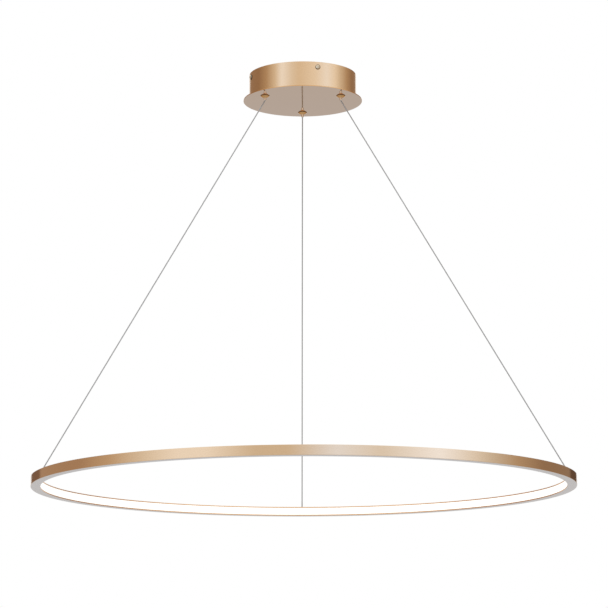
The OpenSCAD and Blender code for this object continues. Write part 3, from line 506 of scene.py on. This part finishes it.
class RINGLIGHT_OT_stage(Operator):
    """Add the camera, the even light, the floor and the wall that the metal mirrors"""

    bl_idname = "ringlight.stage"
    bl_label = "Stage"

    def execute(self, context):
        stage = context.scene.light_stage
        bpy.ops.object.camera_add(location=stage.eye)
        camera = context.object
        camera.name = "Camera"
        camera.rotation_euler = (Matrix.Rotation(-stage.heading, 3, "Z")
                                 @ Matrix.Rotation(math.pi / 2 + stage.pitch, 3, "X")
                                 @ Matrix.Rotation(stage.roll, 3, "Z")).to_euler()
        camera.data.lens, camera.data.sensor_width = stage.lens, SENSOR
        context.scene.camera = camera
        context.scene.view_settings.view_transform = "Standard"

        world = context.scene.world or bpy.data.worlds.new("Studio")
        context.scene.world = world
        world.use_nodes = True
        tree = world.node_tree
        tree.nodes.clear()
        ray = add(tree, "LightPath").outputs
        seen = add(tree, "Math", {0: ray["Is Camera Ray"], 1: ray["Is Glossy Ray"]}, operation="MAXIMUM")
        seen = add(tree, "Math", {0: seen.outputs[0], 1: ray["Is Transmission Ray"]}, operation="MAXIMUM")
        even = add(tree, "MapRange", {"Value": seen.outputs[0], "To Min": stage.daylight, "To Max": 1.0})
        sky = add(tree, "Background", {"Color": (1, 1, 1, 1), "Strength": even.outputs[0]})
        add(tree, "OutputWorld", {"Surface": sky.outputs[0]})

        bpy.ops.object.light_add(type="AREA", location=stage.key)
        key = context.object
        key.name = "Key"
        aim = Vector((0, 0, stage.key_aim)) - key.location
        key.rotation_euler = aim.to_track_quat("-Z", "Y").to_euler()
        key.data.size, key.data.energy = stage.key_size, stage.key_power
        key.visible_glossy = False

        self.floor(stage)
        # The wall begins a centimetre above the floor.
        low = 0.01 - stage.floor
        for row, high, lights in WALL_ROWS:
            self.wall("Studio_wall_" + row, low, high, lights, stage)
            low = high
        return {"FINISHED"}

    def floor(self, stage):
        """A pale round floor far below, seen from above only."""
        only()
        bpy.ops.mesh.primitive_circle_add(vertices=96, radius=FLOOR_RADIUS, fill_type="NGON",
                                          location=(0, 0, -stage.floor))
        floor = named("Floor")
        # Matt painted boards, pale and nearly even to the eye, in clouds of over a metre. The undersides of
        # the canopy and the ring mirror the rings of the floor's sheen instead.
        material, tree, spot = blank("floor_paint")
        ray = add(tree, "LightPath").outputs
        cloud = add(tree, "TexNoise", {"Vector": spot, "Scale": 0.8, "Detail": 3.0})
        pale = add(tree, "ValToRGB", {"Fac": cloud.outputs["Fac"]},
                   stops=[(0.3, colour("#f3f2f0")), (0.7, colour("#f6f5f3"))])
        inwards = add(tree, "Mapping", {"Vector": spot, "Scale": (1 / FLOOR_REACH, 1 / FLOOR_REACH, 1)})
        inwards = add(tree, "TexGradient", {"Vector": inwards.outputs[0]}, gradient_type="SPHERICAL")
        mirrored = add(tree, "ValToRGB", {"Fac": inwards.outputs["Fac"]},
                       stops=[(1 - away / FLOOR_REACH, colour(shade)) for away, shade in FLOOR_SHEEN])
        shade = add(tree, "Mix", {0: ray["Is Glossy Ray"], 6: pale.outputs[0], 7: mirrored.outputs[0]},
                    data_type="RGBA")
        matt = add(tree, "BsdfDiffuse", {"Color": shade.outputs[2]})
        below = add(tree, "NewGeometry").outputs["Backfacing"]
        clear = add(tree, "BsdfTransparent")
        sided = add(tree, "MixShader", {0: below, 1: matt.outputs[0], 2: clear.outputs[0]})
        add(tree, "OutputMaterial", {"Surface": sided.outputs[0]})
        floor.data.materials.append(material)

    def wall(self, name, low, high, lights, stage):
        """A round wall with soft lights on it, open behind the light, which shows only in the metal."""
        end = lights[-1][0]
        points = [point(stage.wall, -90 - end, height) for height in (low, high)]
        wall = draw(name, points)
        bpy.ops.mesh.select_all(action="SELECT")
        bpy.ops.mesh.spin(steps=160, angle=math.radians(2 * end), center=(0, 0, 0), axis=(0, 0, -1))
        close(wall)
        for ray in ("camera", "diffuse", "transmission", "volume_scatter", "shadow"):
            setattr(wall, "visible_" + ray, False)
        material, tree, spot = blank(name)
        turned_round = add(tree, "Mapping", {"Vector": spot, "Rotation": (0, 0, math.pi / 2)}).outputs[0]
        way = add(tree, "TexGradient", {"Vector": turned_round}, gradient_type="RADIAL")
        strongest = max(power for _, _, power in lights)
        stops = [(0.5 + angle / 360, [c * power / strongest for c in colour(shade)[:3]] + [1])
                 for angle, shade, power in lights]
        ramp = add(tree, "ValToRGB", {"Fac": way.outputs["Fac"]}, stops=stops)
        lit = add(tree, "Emission", {"Color": ramp.outputs[0], "Strength": strongest})
        add(tree, "OutputMaterial", {"Surface": lit.outputs[0]})
        wall.data.materials.append(material)


def bore_at(k, height=0.0):
    """The middle of gripper k's bore, at a height."""
    low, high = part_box(f"release_nozzle_{k}")
    return Vector(((low.x + high.x) / 2, (low.y + high.y) / 2, height))


def anchor_at(k):
    """The middle of anchor k, on the ring's top."""
    low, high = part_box(f"anchor_bush_{k}")
    return Vector(((low.x + high.x) / 2, (low.y + high.y) / 2, RING_TOP))


def ball_level(k):
    """The height of the middles of gripper k's balls."""
    low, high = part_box(f"grip_balls_{k}")
    return (low.z + high.z) / 2


class RINGLIGHT_OT_wires(Operator):
    """Add the three suspension wires, from the grippers' mouths to the ring"""

    bl_idname = "ringlight.wires"
    bl_label = "Suspension wires"

    def execute(self, context):
        wires = context.scene.light_wires
        nylon = nylon_coat(context.scene.light_finishes)
        # The coat is drawn plain round and 1.5 percent thinner than the wire. Its strands aren't modelled.
        radius = 0.985 * wires.diameter / 2
        past = 3 * wires.diameter
        for k in (1, 2, 3):
            mouth, anchor = bore_at(k, MOUTH), anchor_at(k)
            way = anchor - mouth
            only()
            bpy.ops.mesh.primitive_circle_add(vertices=24, radius=radius)
            wire = named(f"coated_wire_{k}")
            twist = wire.modifiers.new("Lay", "SCREW")
            twist.screw_offset = way.length + 2 * past
            turns = twist.screw_offset / wires.lay
            twist.angle = 2 * math.pi * turns
            twist.steps = twist.render_steps = round(12 * turns)
            bpy.ops.object.modifier_apply(modifier=twist.name)
            placed(wire, Matrix.Translation(mouth - past * way.normalized())
                   @ way.to_track_quat("Z", "X").to_matrix().to_4x4())
            bpy.ops.object.mode_set(mode="EDIT")
            for height, up in ((mouth.z, 1), (anchor.z, -1)):
                bpy.ops.mesh.select_all(action="SELECT")
                bpy.ops.mesh.bisect(plane_co=(0, 0, height), plane_no=(0, 0, up), use_fill=True,
                                    clear_outer=True)
            close(wire)
            dressed(wire, nylon, "canopy", "wire_grey", f"suspension_wire_{k}", sharp=60)
            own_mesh(wire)
        return {"FINISHED"}


# Places of the joiner's screws along the ring, from the seam.
JOINER_SCREWS = (-0.022, -0.009, 0.009, 0.022)


class RINGLIGHT_OT_ring(Operator):
    """Add the rolled ring profile, with its grooves, seam and holes"""

    bl_idname = "ringlight.ring"
    bl_label = "Ring profile"

    def execute(self, context):
        ring = context.scene.light_ring
        outer, low, top = ring.diameter / 2, RING_LOW, RING_TOP
        inner, edge, ease = outer - ring.width, ring.chamfer, ring.ease
        roof, bed = top - ring.lip, low + ring.lip
        near = inner + ring.recess + ring.rib_front
        far = inner + ring.recess + ring.diffuser - ring.rib_back + ring.play
        section = [
            (inner + ease, low), (outer - edge, low), (outer, low + edge), (outer, top - edge),
            (outer - edge, top), (inner + ease, top), (inner, top - ease), (inner, roof + ease),
            (inner + ease, roof), (near, roof), (near, roof + ring.groove), (far, roof + ring.groove),
            (far, roof), (outer - ring.web, roof), (outer - ring.web, bed), (far, bed),
            (far, bed - ring.groove), (near, bed - ring.groove), (near, bed), (inner + ease, bed),
            (inner, bed - ease), (inner, low + ease),
        ]
        middle = outer - ring.width / 2
        half_gap = math.degrees(ring.seam_gap / 2 / middle)
        profile = turned("ring_profile_gold", section, ring.steps, start=ring.seam_angle + half_gap,
                         sweep=360 - 2 * half_gap)
        for k in (1, 2, 3):
            carve(profile, rod(ring.bush / 2 + SNUG, THROUGH, anchor_at(k)))
        clear, head = ring.joiner_screw / 2 + SNUG, ring.joiner_head / 2 + SNUG
        foot, above = top - 0.004, top + 0.001
        cone = top - (head - clear)
        for along in JOINER_SCREWS:
            at = point(middle, ring.seam_angle + math.degrees(along / middle), 0)
            sink = turned("sink", [(0, foot), (clear, foot), (clear, cone), (head, top - 20 * MICRON),
                                   (head, above), (0, above)], 32, centre=at, closed=False)
            carve(profile, sink)
        finishes = context.scene.light_finishes
        # Anodised aluminium, rolled and brushed: a soft gold that keeps broad bands of light and dark.
        gold = satin_metal("anodised_champagne", finishes.ring, 0.11, (0.0025, 0.0025, 0.0012), 2 * MICRON)
        # The lips' edges are brushed with finer and deeper lines: they look duller than the outside.
        lips = satin_metal("brushed_lips", finishes.lips, 0.4, (0.0025, 0.0025, 0.0004), 4 * MICRON)
        dressed(profile, gold, "ring", "ring_gold", "ring_profile")
        # The brushed part ends with the lips' chamfers.
        reach = inner + 0.9 * ease
        coat(profile, lips, lambda face: face.xy.length < reach)
        return {"FINISHED"}


class RINGLIGHT_OT_diffuser(Operator):
    """Add the opal diffuser with the ribs that snap into the profile"""

    bl_idname = "ringlight.diffuser"
    bl_label = "Diffuser"

    def execute(self, context):
        ring = context.scene.light_ring
        inner = ring.diameter / 2 - ring.width
        face = inner + ring.recess
        back = face + ring.diffuser
        rib_near, rib_far = face + ring.rib_front + ring.play, back - ring.rib_back
        bed, roof = RING_LOW + ring.lip + ring.play, RING_TOP - ring.lip - ring.play
        rib_low, rib_top = bed - ring.groove, roof + ring.groove
        section = [
            (face, bed), (rib_near, bed), (rib_near, rib_low), (rib_far, rib_low), (rib_far, bed),
            (back, bed), (back, roof), (rib_far, roof), (rib_far, rib_top), (rib_near, rib_top),
            (rib_near, roof), (face, roof),
        ]
        half_gap = math.degrees(ring.seam_gap / 2 / face)
        strip = turned("opal_diffuser", section, ring.steps, start=ring.seam_angle + half_gap,
                       sweep=360 - 2 * half_gap)
        dressed(strip, opal_acrylic(context.scene.light_finishes), "ring", "opal_acrylic", "diffuser")
        return {"FINISHED"}


class RINGLIGHT_OT_drum(Operator):
    """Add the canopy drum with its inward flange and screw holes"""

    bl_idname = "ringlight.drum"
    bl_label = "Canopy drum"

    def execute(self, context):
        canopy = context.scene.light_canopy
        outer = canopy.drum / 2
        inner = outer - canopy.wall
        foot = PLATE_LOW + canopy.plate
        section = [(inner - canopy.flange, foot), (outer, foot), (outer, 0), (inner, 0),
                   (inner, foot + canopy.wall), (inner - canopy.flange, foot + canopy.wall)]
        drum = turned("canopy_drum_gold", section, 240)
        rounded(drum, canopy.edge)
        for heading in quarter_turns(canopy.screw_angle):
            carve(drum, rod(canopy.screw_shank / 2 + SLACK, THROUGH,
                            point(outer, heading, -canopy.screw_drop), heading))
        for heading in quarter_turns(canopy.stud_angle):
            carve(drum, rod(canopy.stud / 2 + SLACK, THROUGH,
                            point(inner - canopy.flange / 2, heading, foot)))
        # Plated steel, rolled: a smooth gold that mirrors the room in soft upright bands.
        gold = satin_metal("plated_drum", context.scene.light_finishes.canopy, 0.15, (0.02, 0.02, 0.0015),
                           MICRON)
        dressed(drum, gold, "canopy", "canopy_gold", "canopy_drum")
        return {"FINISHED"}


class RINGLIGHT_OT_plate(Operator):
    """Add the canopy plate with its gripper holes and weld studs"""

    bl_idname = "ringlight.plate"
    bl_label = "Canopy plate"

    def execute(self, context):
        canopy, gripper = context.scene.light_canopy, context.scene.light_gripper
        edge = canopy.drum / 2 + canopy.lip
        top = PLATE_LOW + canopy.plate
        plate = turned("canopy_plate_gold", [(0, PLATE_LOW), (edge, PLATE_LOW), (edge, top), (0, top)], 240,
                       closed=False)
        rounded(plate, canopy.edge)
        for k in (1, 2, 3):
            carve(plate, rod(gripper.barrel / 2 + SNUG, THROUGH, bore_at(k, PLATE_LOW), vertices=64))
        radius, tip, root = canopy.stud / 2, top + canopy.stud_height, top - 0.0003
        chamfer = 0.0004
        for heading in quarter_turns(canopy.stud_angle):
            at = point(canopy.drum / 2 - canopy.wall - canopy.flange / 2, heading, 0)
            stud = turned("stud", [(0, root), (radius, root), (radius, tip - chamfer),
                                   (radius - chamfer, tip), (0, tip)], 24, centre=at, closed=False)
            carve(plate, stud, "UNION")
        # Plated and polished steel: nearly a clear mirror, which takes on the floor's colour.
        gold = satin_metal("polished_plate", context.scene.light_finishes.plate, 0.07,
                           (0.05, 0.004, 0.004), MICRON)
        dressed(plate, gold, "canopy", "canopy_gold", "canopy_plate")
        return {"FINISHED"}


class RINGLIGHT_OT_side_screws(Operator):
    """Add the four round-head screws with their cross recesses"""

    bl_idname = "ringlight.side_screws"
    bl_label = "Side screws"

    def execute(self, context):
        canopy = context.scene.light_canopy
        washer, dome = canopy.screw_head / 2, canopy.screw_dome
        thick, rim = canopy.washer, washer - canopy.washer_edge
        rise = dome - thick
        ball = (rim * rim + rise * rise) / (2 * rise)
        arc = [math.asin(rim / ball) * i / 10 for i in range(10, -1, -1)]
        head = [(washer, 0), (washer, thick), (rim, thick)]
        head += [(ball * math.sin(a), dome - ball + ball * math.cos(a)) for a in arc]
        shank, tip, chamfer = canopy.screw_shank / 2, -canopy.screw_length, 0.0006
        section = [(0, tip), (shank - chamfer, tip), (shank, tip + chamfer), (shank, 0), *head]
        screw = turned("side_screw_1", section, 48, closed=False)
        # Two crossed bits, narrower towards their tips, cut the recess.
        slot, above, taper = (0.005, 0.0013, 0.0042), 0.0004, 0.62
        for turn in (20, 110):
            only()
            bpy.ops.mesh.primitive_cube_add(size=1, location=(0, 0, dome + above),
                                            rotation=(0, 0, math.radians(turn)), scale=slot)
            bit = context.object
            # Edges and faces that stay selected would select their vertices again.
            for part in (*bit.data.edges, *bit.data.polygons):
                part.select = False
            for vertex in bit.data.vertices:
                vertex.select = vertex.co.z < 0
            bpy.ops.object.mode_set(mode="EDIT")
            bpy.ops.transform.resize(value=(taper, taper, 1), center_override=(0, 0, 0))
            bpy.ops.object.mode_set(mode="OBJECT")
            carve(screw, bit)
        rounded(screw, 0.00008, angle=35)
        finishes = context.scene.light_finishes
        # Plated steel, tumbled: small sharp lights on the domes.
        bright = satin_metal("plated_screw", finishes.screws, 0.08, (0.0008, 0.0008, 0.0008), MICRON)
        # The washers are painted near black: painted shade that stands in for the shadow where each head
        # meets the drum, a dull dark rim round each head.
        rubber = moulded("washer_painted_shade", finishes.washers, 0.5)
        outwards = Matrix.Rotation(math.radians(canopy.screw_angle), 4, "Z")
        placed(screw, outwards @ Matrix.Translation((canopy.drum / 2, 0, -canopy.screw_drop))
               @ Matrix.Rotation(math.pi / 2, 4, "Y"))
        others = [copied(screw, f"side_screw_{k + 1}", 90 * k) for k in (1, 2, 3)]
        dressed(screw, bright, "canopy", "screw_gold", "side_screws")
        for other in others:
            dressed(other, bright, "canopy", "screw_gold")
        # The washers' faces take the near-black painted shade.
        seat, margin = canopy.drum / 2, 0.0001
        for piece in (screw, *others):
            coat(piece, rubber, lambda face: seat - margin < face.xy.length < seat + thick + margin)
        return {"FINISHED"}


def bore_levels(gripper):
    """Heights in a gripper above the plate's underside: the seat's foot and head, and the collar's foot."""
    seat, room, gap = 0.003, 0.0045, 0.0005
    head = seat + room + gripper.travel
    return seat, head, head + gap


class RINGLIGHT_OT_grippers(Operator):
    """Add the gripper bodies: a turned cone under the plate and a threaded barrel above it"""

    bl_idname = "ringlight.grippers"
    bl_label = "Gripper bodies"

    def execute(self, context):
        gripper = context.scene.light_gripper
        seat, head, _ = bore_levels(gripper)
        bore, cone = gripper.nozzle / 2 + SNUG, gripper.cone / 2
        barrel, top, chamber = gripper.barrel / 2, gripper.barrel_height, gripper.chamber / 2
        pitch, depth = gripper.thread, gripper.thread_depth
        # The thread begins a little above the underside, and a stretch of the barrel stays plain.
        first, plain = 0.0015, 0.002
        thread = []
        for i in range(int((top - plain) / pitch)):
            thread += [(barrel, first + i * pitch), (barrel - depth, first + (i + 0.5) * pitch)]
        section = [
            (bore, -gripper.cone_height), (gripper.cone_foot / 2, -gripper.cone_height),
            (cone, -gripper.rim), (cone, 0), (barrel, 0), *thread, (barrel, top), (chamber, top),
            (chamber, head), (gripper.throat / 2, seat), (bore, seat),
        ]
        section = [(radius, height + PLATE_LOW) for radius, height in section]
        finishes, rings = context.scene.light_finishes, (0.004, 0.004, 0.0004)
        # Brass, turned and plated: fine rings round the cone and a clear line of light on it.
        gold = satin_metal("turned_gripper", finishes.gripper, 0.08, rings, MICRON)
        # The rims are painted a darker brown than the cones: painted shade and painted dark reflection, so
        # each cone ends in a dark edge.
        brown = satin_metal("painted_shade_rim", finishes.rims, 0.06, rings, MICRON)
        for k in (1, 2, 3):
            middle = bore_at(k)
            body = turned(f"gripper_{k}", section, 72, centre=middle)
            rounded(body, 0.00012, angle=50, segments=1)
            dressed(body, gold, "canopy", "gripper_gold", f"gripper_body_{k}")
            # The painted shade goes on the faces round each cone's outer edge.
            coat(body, brown, lambda face: (face - middle).xy.length > cone - SLACK)
        return {"FINISHED"}


class RINGLIGHT_OT_nozzles(Operator):
    """Add the release nozzles, with the side holes that carry the gripping balls"""

    bl_idname = "ringlight.nozzles"
    bl_label = "Release nozzles"

    def execute(self, context):
        gripper = context.scene.light_gripper
        radius, wide = gripper.nozzle / 2, gripper.collar / 2
        bore = radius - gripper.nozzle_wall
        collar = PLATE_LOW + bore_levels(gripper)[2]
        top = collar + gripper.collar_height
        flare, chamfer = 0.00025, 0.0002
        section = [
            (bore + flare, MOUTH), (radius - chamfer, MOUTH), (radius, MOUTH + chamfer),
            (radius, collar), (wide, collar), (wide, top), (bore, top), (bore, MOUTH + flare),
        ]
        # Brass, turned and nickel plated: pale bright tips below the gold cones.
        nickel = satin_metal("turned_nozzle", context.scene.light_finishes.nozzles, 0.08,
                             (0.003, 0.003, 0.0003), MICRON)
        # A cutter that goes through one wall and doesn't reach the one opposite.
        one_wall = 0.0024
        for k in (1, 2, 3):
            middle = bore_at(k)
            nozzle = turned(f"nozzle_{k}", section, 48, centre=middle)
            outwards = math.degrees(math.atan2(middle.y, middle.x))
            for turn in (60, 180, 300):
                heading = outwards + turn
                at = middle + point(radius, heading, ball_level(k))
                carve(nozzle, rod(gripper.ball / 2 + SNUG, one_wall, at, heading))
            dressed(nozzle, nickel, f"release_{k}", "gripper_gold", f"release_nozzle_{k}")
        return {"FINISHED"}


class RINGLIGHT_OT_springs(Operator):
    """Add the release springs between the nozzles' collars and the plugs"""

    bl_idname = "ringlight.springs"
    bl_label = "Release springs"

    def execute(self, context):
        gripper = context.scene.light_gripper
        # Drawn steel wire: plain grey with a soft line of light along each turn.
        steel = plain_metal("spring_steel", "#b9bcc0", 0.25)
        half = gripper.spring_wire / 2
        for k in (1, 2, 3):
            low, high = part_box(f"release_spring_{k}")
            coil = (high.x - low.x) / 2 - half
            bottom, top = low.z + half, high.z - half
            only()
            bpy.ops.mesh.primitive_circle_add(vertices=8, radius=half, location=(coil, 0, 0),
                                              rotation=(math.pi / 2, 0, 0))
            spring = named(f"spring_{k}")
            bpy.ops.object.transform_apply(location=True, rotation=True, scale=True)
            coil_up = spring.modifiers.new("Coil", "SCREW")
            coil_up.iterations = gripper.spring_turns
            coil_up.screw_offset = (top - bottom) / gripper.spring_turns
            coil_up.steps = coil_up.render_steps = 24
            bpy.ops.object.modifier_apply(modifier=coil_up.name)
            bpy.ops.object.mode_set(mode="EDIT")
            bpy.ops.mesh.select_all(action="SELECT")
            bpy.ops.mesh.fill_holes(sides=0)
            close(spring)
            placed(spring, Matrix.Translation(bore_at(k, bottom)))
            dressed(spring, steel, "canopy", "zinc_steel", f"release_spring_{k}", sharp=60)
            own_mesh(spring)
        return {"FINISHED"}


def smooth(points, steps=3):
    """A smooth curve through the points, with a few steps between neighbours."""
    curve = []
    for i in range(len(points) - 1):
        a, b, c, d = (points[min(max(i + n, 0), len(points) - 1)] for n in (-1, 0, 1, 2))
        for k in range(steps):
            t = k / steps
            curve.append(0.5 * (2 * b + (c - a) * t + (2 * a - 5 * b + 4 * c - d) * t * t
                                + (3 * b - a - 3 * c + d) * t * t * t))
    return curve + [points[-1]]


def tube(name, path, diameter):
    """A round tube along a path."""
    only()
    line = bpy.data.curves.new(name, "CURVE")
    line.dimensions, line.bevel_depth, line.bevel_resolution = "3D", diameter / 2, 3
    line.use_fill_caps = True
    spline = line.splines.new("POLY")
    spline.points.add(len(path) - 1)
    for place, spot in zip(spline.points, path):
        place.co = (*spot, 1)
    piece = bpy.data.objects.new(name, line)
    bpy.context.collection.objects.link(piece)
    only(piece)
    bpy.ops.object.convert(target="MESH")
    return bpy.context.object


# Way points of the leads in the canopy, in millimetres, as in the CAD source. The driver's ends are at
# x = -55 and 55, its middle line at y = 33, and its lead holes at z = -13. Poles are entered at z = -10.
LEADS = {
    "live_lead": ("brown_lead", "#7a4a2a", [
        (-53.5, 27, -13), (-55, 27, -13), (-60, 27, -13), (-65, 12, -12), (-65, -10, -11), (-60, -34, -10),
        (-48, -53, -10), (-36, -50, -10), (-36, -45, -10), (-36, -40, -10)]),
    "neutral_lead": ("blue_lead", "#3b63a8", [
        (-53.5, 33, -13), (-55, 33, -13), (-60, 33, -13), (-70, 22, -13), (-71, -4, -12), (-67, -28, -10),
        (-54, -54, -10), (-36, -62, -10), (-26, -50, -10), (-26, -45, -10), (-26, -40, -10)]),
    "earth_lead": ("earth_lead_green", "#8ea23a", [
        (-16, -40, -10), (-16, -45, -10), (-16, -50, -10), (-12, -55, -9), (-5, -54, -7), (-1, -50, -4.6),
        (0, -48.1, -3.6)]),
    "output_lead_1": ("red_lead", "#b8332c", [
        (53.5, 33, -13), (55, 33, -13), (60, 33, -13), (70, 20, -12), (70, 0, -11), (62, -20, -10),
        (44, -34, -10), (38, -40, -10), (38, -45, -10), (38, -50, -10)]),
    "output_lead_2": ("black_lead", "#2a2b2d", [
        (53.5, 27, -13), (55, 27, -13), (60, 27, -13), (64, 12, -12), (63, -6, -11), (50, -20, -10),
        (34, -31, -10), (30, -40, -10), (30, -45, -10), (30, -50, -10)]),
}
# Way points of the wires' tails past their grippers, in millimetres.
TAILS = {
    1: [(2, 82, -18), (9, 78, -14), (20, 73, -13), (34, 68, -14)],
    2: [(-68, -46, -18), (-58, -60, -13), (-38, -75, -10), (-10, -81, -10), (14, -78, -10), (26, -71, -10),
        (30, -64, -10), (30, -59, -10), (30, -54, -10)],
    3: [(70, -46, -18), (65, -56, -13), (54, -68, -10), (43, -72, -10), (38, -64, -10), (38, -59, -10),
        (38, -54, -10)],
}


class RINGLIGHT_OT_leads(Operator):
    """Add the leads in the canopy, the wires' tails and the jumper leads in the ring"""

    bl_idname = "ringlight.leads"
    bl_label = "Leads and wire tails"

    def execute(self, context):
        wires = context.scene.light_wires
        # Drawn PVC in the colours of mains and low-voltage cores: even in tone, with a satin gloss.
        for name, (slot, hex_code, way) in LEADS.items():
            path = smooth([Vector(spot) / 1000 for spot in way])
            lead = tube(name + "_pvc", path, wires.lead)
            dressed(lead, moulded(slot + "_pvc", colour(hex_code), 0.4), "canopy", slot, name, sharp=60)
        nylon = nylon_coat(context.scene.light_finishes)
        straight = 0.003
        for k, way in TAILS.items():
            levels = (MOUTH, ball_level(k), GRIPPER_TOP, GRIPPER_TOP + straight)
            path = smooth([bore_at(k, level) for level in levels] + [Vector(spot) / 1000 for spot in way])
            tail = tube(f"tail_{k}", path, wires.diameter)
            dressed(tail, nylon, "canopy", "wire_grey", f"wire_tail_{k}", sharp=60)
        ring = context.scene.light_ring
        red = moulded("jumper_pvc", colour("#b8332c"), 0.4)
        # Between the outer wall and a jumper's end lie the glue line, the LED strip and a small gap.
        strip = 0.00037
        for k in (1, 2):
            stop = anchor_at(k + 1)
            out = Vector((stop.x, stop.y, 0)).normalized()
            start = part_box(f"wire_stop_{k + 1}")[0].z - 0.0001
            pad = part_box(f"jumper_lead_{k}")[0].z + wires.jumper / 2
            reach = ring.diameter / 2 - ring.web - strip - stop.xy.length
            # Way points, outwards and in height: down from the ferrule, then in a bend to the strip's pad.
            marks = [(0, start), (0, start - 0.0009), (0.0012, pad + 0.0006), (0.0026, pad), (reach, pad)]
            path = smooth([Vector((stop.x, stop.y, z)) + out * r for r, z in marks])
            dressed(tube(f"jumper_{k}", path, wires.jumper), red, "ring", "red_lead", f"jumper_lead_{k}",
                    sharp=60)
        return {"FINISHED"}


class RINGLIGHT_OT_carried(Operator):
    """Give the carried-over CAD pieces their materials"""

    bl_idname = "ringlight.carried"
    bl_label = "Carried-over pieces"

    def execute(self, context):
        finishes = context.scene.light_finishes
        # Hidden fittings: zinc plate is a dull bluish grey, brass is yellow, the ground balls are bright and
        # the joiner's aluminium is pale.
        zinc = plain_metal("zinc_plated_steel", "#b4b8bd", 0.32)
        brass = plain_metal("brass_fitting", "#c9a24a", 0.28)
        chrome = plain_metal("bearing_steel", "#d2d4d8", 0.08)
        aluminium = plain_metal("mill_aluminium", "#c3c5c8", 0.3)
        # Moulded cases and blocks are plain white and the grommet is matt black. The board and the strip have
        # a glossier lacquer, and the chips' gel is dull yellow.
        white = moulded("white_polycarbonate", colour("#f1efe9"), 0.38)
        nylon = moulded("white_nylon", colour("#ebe7dc"), 0.45, ior=1.53)
        rubber = moulded("black_rubber", colour("#2a2b2d"), 0.6)
        board = moulded("green_solder_mask", colour("#2f6b45"), 0.25)
        strip = moulded("white_solder_mask", colour("#f0efe6"), 0.35)
        phosphor = moulded("yellow_phosphor", colour("#f2d34f"), 0.5)
        # The plugs and the joiner's screws match the gold beside them, and are a little duller.
        plug = satin_metal("turned_plug", finishes.gripper, 0.14, (0.003, 0.003, 0.0003), 2 * MICRON)
        anodised = satin_metal("anodised_screw", finishes.ring, 0.18, (0.001, 0.001, 0.001), 3 * MICRON)
        wear = {
            "ceiling_bracket": zinc, "plate_nuts": zinc, "terminal_screws": zinc, "cover_screws": zinc,
            "driver_mount_screws": zinc, "cable_grommet": rubber, "earth_screw": brass,
            "terminal_block": white, "driver_case": white, "driver_cover": white, "driver_board": board,
            "output_connector": white, "ring_joiner": aluminium, "joiner_screws": anodised,
            "led_strip": strip, "led_chips": phosphor,
        }
        for k in (1, 2, 3):
            wear.update({f"gripper_nut_{k}": zinc, f"gripper_plug_{k}": plug, f"grip_balls_{k}": chrome,
                         f"anchor_bush_{k}": nylon, f"wire_stop_{k}": zinc})
        for name, material in wear.items():
            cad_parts[name].material_slots[0].material = material
        bare = [name for name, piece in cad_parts.items() if not piece.hide_render and name not in wear]
        if bare:
            raise RuntimeError(f"no material for {bare}")
        return {"FINISHED"}


SETTINGS = {"light_ring": RingSizes, "light_canopy": CanopySizes, "light_gripper": GripperSizes,
            "light_wires": WireSizes, "light_finishes": Finishes, "light_stage": StageSettings}
STEPS = ("stage", "wires", "leads", "ring", "diffuser", "drum", "plate", "side_screws", "grippers",
         "nozzles", "springs", "carried")


class RINGLIGHT_PT_panel(Panel):
    """Lists the pieces of the ring light"""

    bl_idname = "RINGLIGHT_PT_panel"
    bl_label = "Ring light"
    bl_space_type = "VIEW_3D"
    bl_region_type = "UI"
    bl_category = "Ring light"

    def draw(self, context):
        for group in SETTINGS:
            box = self.layout.box()
            box.label(text=group.removeprefix("light_").capitalize())
            values = getattr(context.scene, group)
            for name in values.__annotations__:
                box.prop(values, name)
        for step in STEPS:
            self.layout.operator("ringlight." + step)


CLASSES = (*SETTINGS.values(), RINGLIGHT_OT_stage, RINGLIGHT_OT_wires, RINGLIGHT_OT_leads,
           RINGLIGHT_OT_ring, RINGLIGHT_OT_diffuser, RINGLIGHT_OT_drum, RINGLIGHT_OT_plate,
           RINGLIGHT_OT_side_screws, RINGLIGHT_OT_grippers, RINGLIGHT_OT_nozzles, RINGLIGHT_OT_springs,
           RINGLIGHT_OT_carried, RINGLIGHT_PT_panel)


def register():
    """Registers the classes and their settings."""
    for kind in CLASSES:
        bpy.utils.register_class(kind)
    for name, kind in SETTINGS.items():
        setattr(bpy.types.Scene, name, PointerProperty(type=kind))


def unregister():
    """Takes the settings and the classes away again."""
    for name in SETTINGS:
        delattr(bpy.types.Scene, name)
    for kind in reversed(CLASSES):
        bpy.utils.unregister_class(kind)


def main():
    """Models the light step by step."""
    register()
    for step in STEPS:
        getattr(bpy.ops.ringlight, step)()


if __name__ == "__main__":
    main()
